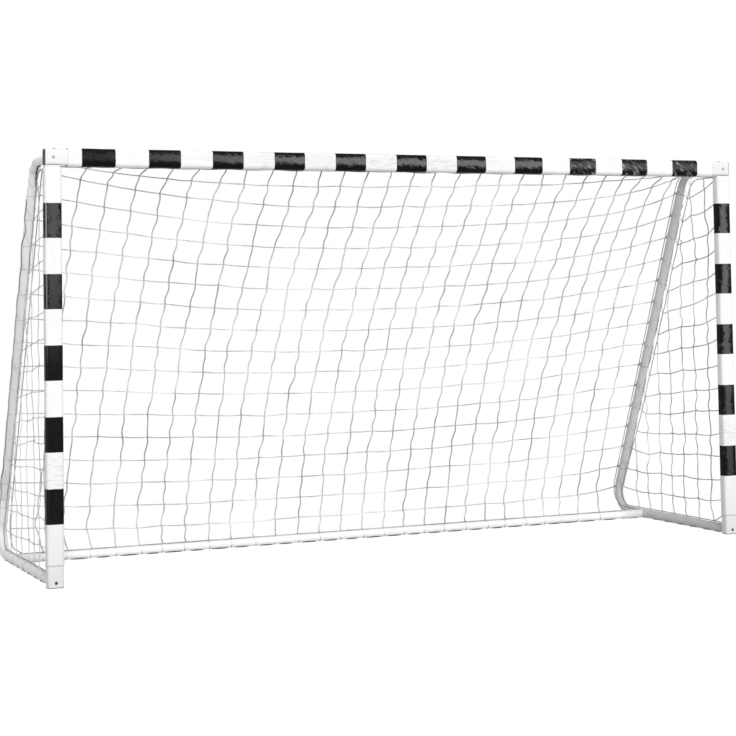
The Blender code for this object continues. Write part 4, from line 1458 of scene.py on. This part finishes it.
class GOAL_OT_lacing(bpy.types.Operator):
    """Lay the border cords and lash them to the tubes"""

    bl_idname = "goal.lacing"
    bl_label = "Lacing"

    def execute(self, context):
        sizes = context.scene.goal_net
        self.draw = random.Random(11)
        self.seat = sizes.border / 2 + FIT
        self.borders = []
        self.loops = []
        self.lace_rear_bar(sizes)
        for side in SIDES:
            line = side_frame_line(side)
            self.lace_back_edge(sizes, side, line)
            self.lace_side(sizes, side, line)
        self.lace_crossbar()
        corded("border_cord", self.borders, sizes.border, greyed(sizes.colour, 0.66), 0.95, sides=8)
        # The corner tie is painted near-black, as painted shade under the left elbow's bend.
        corded("corner_tie_shade_left", [self.corner_tie(context.scene.goal_frame)], CORNER_TIE,
               TIE_PAINTED_SHADE, sides=8)
        corded("lashing", self.loops, sizes.lacing, greyed(sizes.colour, 1.42), 0.9, closed=True)
        return {"FINISHED"}

    def tie(self, line, radius, anchor, lead=0):
        """Lash an anchor to the tube whose centre line passes by."""
        twine = bpy.context.scene.goal_net.lacing
        self.loops.append(tie_loop(line, radius, anchor, twine, lead, self.draw))

    def lace_rear_bar(self, sizes):
        """The cord along the rear bar's top and the turns that hold it down."""
        shape = NetShape(sizes)
        line = [Vector((x, REAR_BAR_Y, SIDE_RADIUS)) for x in across_net()]
        height = PLUG_RADIUS + self.seat
        top = [point + Vector((0, -0.004, height + 0.001 * abs(wander(*point * 18.0))))
               for point in line]
        self.borders.append(top)
        for index in range(sizes.columns + 1):
            x = shape.foot(index) + self.draw.uniform(-0.006, 0.006)
            if abs(x) < NET_HALF - 0.01:
                anchor = Vector((x, REAR_BAR_Y - 0.003, SIDE_RADIUS + height + sizes.border / 2))
                self.tie(line, PLUG_RADIUS, anchor)
                place = Vector((x + LOW_RUN_SHIFT, REAR_BAR_Y, SIDE_RADIUS))
                self.low_run(place, Vector((1, 0, 0)), Vector((0, -1, 0)), PLUG_RADIUS)

    def lace_back_edge(self, sizes, side, line):
        """The back's edge cord, beside the stay, and the ties from it round the stay."""
        shape = NetShape(sizes)
        across = Vector((side * EDGE_CORD_X, 0, 0))
        self.borders.append([point + across for point in evenly(shape.edge, 0.02)])
        self.borders.append(self.running_twine(side, line))
        for row in range(1, sizes.rows + 1):
            anchor = shape.point(side * EDGE_CORD_X, row)
            if anchor.y < REAR_Y - 2 * SIDE_RADIUS and anchor.z > LOWEST_TIE_Z and row > 1:
                self.tie(line, SIDE_RADIUS, anchor)

    def running_twine(self, side, line):
        """The twine that runs down the stay's outer side from tie to tie."""
        points = []
        for before, point, after in zip(line, line[1:], line[2:]):
            if TWINE_FROM_Z < point.z < TWINE_TO_Z:
                behind = (after - before).cross(Vector((1, 0, 0))).normalized()
                wave = wander(point.z * 14.0, side * 5.0, 2.0)
                angle = 0.30 + 0.8 * wave
                out = Vector((side * cos(angle), 0, 0)) + behind * sin(angle)
                points.append(point + out * (SIDE_RADIUS + self.seat))
        return points

    def lace_side(self, sizes, side, line):
        """The side net's border cord, its ties to elbow and stay, and the turns on the ground."""
        shape = SideShape()
        low = NET_LOW_Z + self.seat
        border = []
        for point in shape.border:
            stray = 0.003 * wander(point.y * 30, point.z * 30, 1)
            border.append(Vector((side * (POST_X + stray), point.y, max(point.z, low))))
        self.borders.append(border)
        for row in range(-1, sizes.side_rows):
            end = shape.row_end(row) if row >= 0 else shape.column_top(1)
            anchor = Vector((side * POST_X, end.y, max(end.z, low)))
            radius = PLUG_RADIUS if end.z > ELBOW_FROM_Z else SIDE_RADIUS
            self.tie(line, radius, anchor, 2)
        for index in range(sizes.side_columns):
            y = shape.column(index, 0.0) + self.draw.uniform(-0.01, 0.01)
            anchor = Vector((side * (POST_X + 0.002), y, low + sizes.border / 2))
            self.tie(line, SIDE_RADIUS, anchor)
        for low_side in SIDES:
            for index in range(sizes.side_columns + 1):
                y = shape.column(index - 0.5, 0.0) + self.draw.uniform(-0.012, 0.012)
                place, out = Vector((side * POST_X, y, SIDE_RADIUS)), Vector((low_side, 0, 0))
                self.low_run(place, Vector((0, 1, 0)), out, SIDE_RADIUS)

    def low_run(self, place, ahead, out, radius):
        """A short run of the net's lower cord that shows beside a tube's underside."""
        half_length = self.draw.uniform(*LOW_RUN_HALF)
        points = []
        for step in range(LOW_RUN_STEPS + 1):
            share = 2 * step / LOW_RUN_STEPS - 1
            angle = radians(self.draw.uniform(*LOW_RUN_TURN) + LOW_RUN_DIP * share * share)
            reach = radius + self.seat
            point = place + ahead * (half_length * share) + out * (reach * cos(angle))
            point.z = max(place.z - reach * sin(angle), self.seat)
            points.append(point)
        self.borders.append(points)

    def corner_tie(self, frame_sizes):
        """The cord that ties the net's corner under the left elbow's bend, painted near-black as the
        shade under the bend.
        """
        corner = side_corner()
        start = Vector((0, corner.y - frame_sizes.elbow_radius * CORNER_TIE_REACH, CROSSBAR_Z))
        bend = bent_route(start, corner, point_on_stay(CORNER_TIE_LOW_Z), frame_sizes.elbow_radius)
        route = evenly(bend, 0.008)
        reach = PLUG_RADIUS + CORNER_TIE / 2 + FIT
        points = []
        for number, (before, point, after) in enumerate(zip(route, route[1:], route[2:])):
            under = Vector((1, 0, 0)).cross(after - before).normalized()
            under *= -1 if under.z > 0 else 1
            angle = radians(CORNER_TIE_FROM + CORNER_TIE_TURN * number / (len(route) - 3))
            across = Vector((-POST_X + reach * sin(angle), 0, 0))
            points.append(point + across + under * (reach * cos(angle)))
        return points

    def lace_crossbar(self):
        """The cord behind the crossbar's lower edge, hanging out of it here and there."""
        sleeve_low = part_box("crossbar_sleeve")[0].z
        top = []
        for x in across_net():
            drop = 0.0035 * wander(x * 11.0, 0.0, 9.0)
            top.append(Vector((x, SLEEVE_BACK_Y + self.seat + 0.0015, sleeve_low + 0.0005 + drop)))
        self.borders.append(top)


# The photograph's frame and principal point in its pixels, and the camera's sensor and far limit
PHOTO_SIZE = 736
PRINCIPAL_X = 367.8
PRINCIPAL_Y = 212.8
SENSOR_WIDTH = 36.0
FARTHEST_SEEN = 200.0

# Half the floor's width, the share of plain white in it, and how bright its own paint is when lit
FLOOR_HALF = 60.0
FLOOR_WHITE = 0.86
FLOOR_SHADE = 0.50
WHITE = (1, 1, 1, 1)
LAMP_SPREAD = radians(28)


class GOAL_OT_stage(bpy.types.Operator):
    """Set up the camera, the floor, the soft light and the white backdrop"""

    bl_idname = "goal.stage"
    bl_label = "Stage"

    def execute(self, context):
        look = context.scene.goal_stage
        ahead = Vector((sin(look.yaw) * cos(look.pitch), cos(look.yaw) * cos(look.pitch),
                        sin(look.pitch)))
        right = Vector((cos(look.yaw), -sin(look.yaw), 0))
        up = right.cross(ahead)
        rolled_right = right * cos(look.roll) + up * sin(look.roll)
        rolled_up = up * cos(look.roll) - right * sin(look.roll)
        turn = Matrix((rolled_right, rolled_up, -ahead)).transposed().to_4x4()
        lens = bpy.data.cameras.new("camera")
        lens.sensor_width = SENSOR_WIDTH
        lens.lens = look.focal_pixels * SENSOR_WIDTH / PHOTO_SIZE
        lens.shift_x = (PHOTO_SIZE / 2 - PRINCIPAL_X) / PHOTO_SIZE
        lens.shift_y = (PRINCIPAL_Y - PHOTO_SIZE / 2) / PHOTO_SIZE
        lens.clip_end = FARTHEST_SEEN
        camera = linked("camera", lens)
        camera.matrix_world = Matrix.Translation(look.camera_place) @ turn
        context.scene.camera = camera

        sun = bpy.data.lights.new("soft_front", "SUN")
        sun.energy = look.lamp
        sun.angle = LAMP_SPREAD
        lamp = linked("soft_front", sun)
        lamp.rotation_euler = (pi / 2 - look.lamp_height, 0, look.lamp_turn)

        ground = bmesh.new()
        bmesh.ops.create_grid(ground, x_segments=1, y_segments=1, size=FLOOR_HALF)
        floor = made_of("floor", ground, self.floor_finish())

        backdrop = Finish("backdrop", "worlds", "Background")
        backdrop.surface(Color=WHITE, Strength=look.sky)
        white = backdrop.node("ShaderNodeBackground", None, {"Color": WHITE, "Strength": 1.0})
        context.scene.world = backdrop.seen_as(white, 1.0)
        context.scene.view_settings.view_transform = "Standard"
        return {"FINISHED"}

    def floor_finish(self):
        """A pale matt floor that the camera sees as white, with the goal's shadow kept."""
        finish = Finish("floor_paint")
        cloud = finish.noise(0.7, 2.0)
        finish.surface(Base_Color=finish.mixed(cloud, (0.70, 0.70, 0.70), (0.72, 0.72, 0.72)),
                       Roughness=0.9, Specular_IOR_Level=0.1)
        full_white = (1 - (1 - FLOOR_WHITE) * FLOOR_SHADE) / FLOOR_WHITE
        white = finish.node("ShaderNodeEmission", None, {"Color": WHITE, "Strength": full_white})
        return finish.seen_as(white, FLOOR_WHITE)


class GOAL_PT_panel(bpy.types.Panel):
    """The goal's sizes and the operators that make its pieces"""

    bl_idname = "GOAL_PT_panel"
    bl_label = "Goal"
    bl_space_type = "VIEW_3D"
    bl_region_type = "UI"
    bl_category = "Goal"

    def draw(self, context):
        for group in GROUPS:
            settings = getattr(context.scene, group)
            box = self.layout.box()
            box.label(text=settings.bl_rna.description)
            for name in settings.__annotations__:
                box.prop(settings, name)
        for operator in OPERATORS:
            self.layout.operator(operator.bl_idname)


GROUPS = {
    "goal_frame": GoalFrameSizes,
    "goal_sleeves": GoalSleeveLook,
    "goal_net": GoalNetSizes,
    "goal_stage": GoalStageLook,
}
OPERATORS = (
    GOAL_OT_stage,
    GOAL_OT_front_tubes,
    GOAL_OT_caps,
    GOAL_OT_side_frames,
    GOAL_OT_rear_bar,
    GOAL_OT_bolts,
    GOAL_OT_sleeves,
    GOAL_OT_back_net,
    GOAL_OT_side_nets,
    GOAL_OT_lacing,
)


def register():
    """Register the classes and put their settings on the scene."""
    for cls in (*GROUPS.values(), *OPERATORS, GOAL_PT_panel):
        bpy.utils.register_class(cls)
    for name, group in GROUPS.items():
        setattr(bpy.types.Scene, name, bpy.props.PointerProperty(type=group))


def unregister():
    """Take the settings and the classes away again."""
    for name in GROUPS:
        delattr(bpy.types.Scene, name)
    for cls in reversed((*GROUPS.values(), *OPERATORS, GOAL_PT_panel)):
        bpy.utils.unregister_class(cls)


def main():
    """Dress the goal."""
    register()
    bpy.ops.goal.stage()
    bpy.ops.goal.front_tubes()
    bpy.ops.goal.caps()
    bpy.ops.goal.side_frames()
    bpy.ops.goal.rear_bar()
    bpy.ops.goal.bolts()
    bpy.ops.goal.sleeves()
    bpy.ops.goal.back_net()
    bpy.ops.goal.side_nets()
    bpy.ops.goal.lacing()


if __name__ == "__main__":
    main()
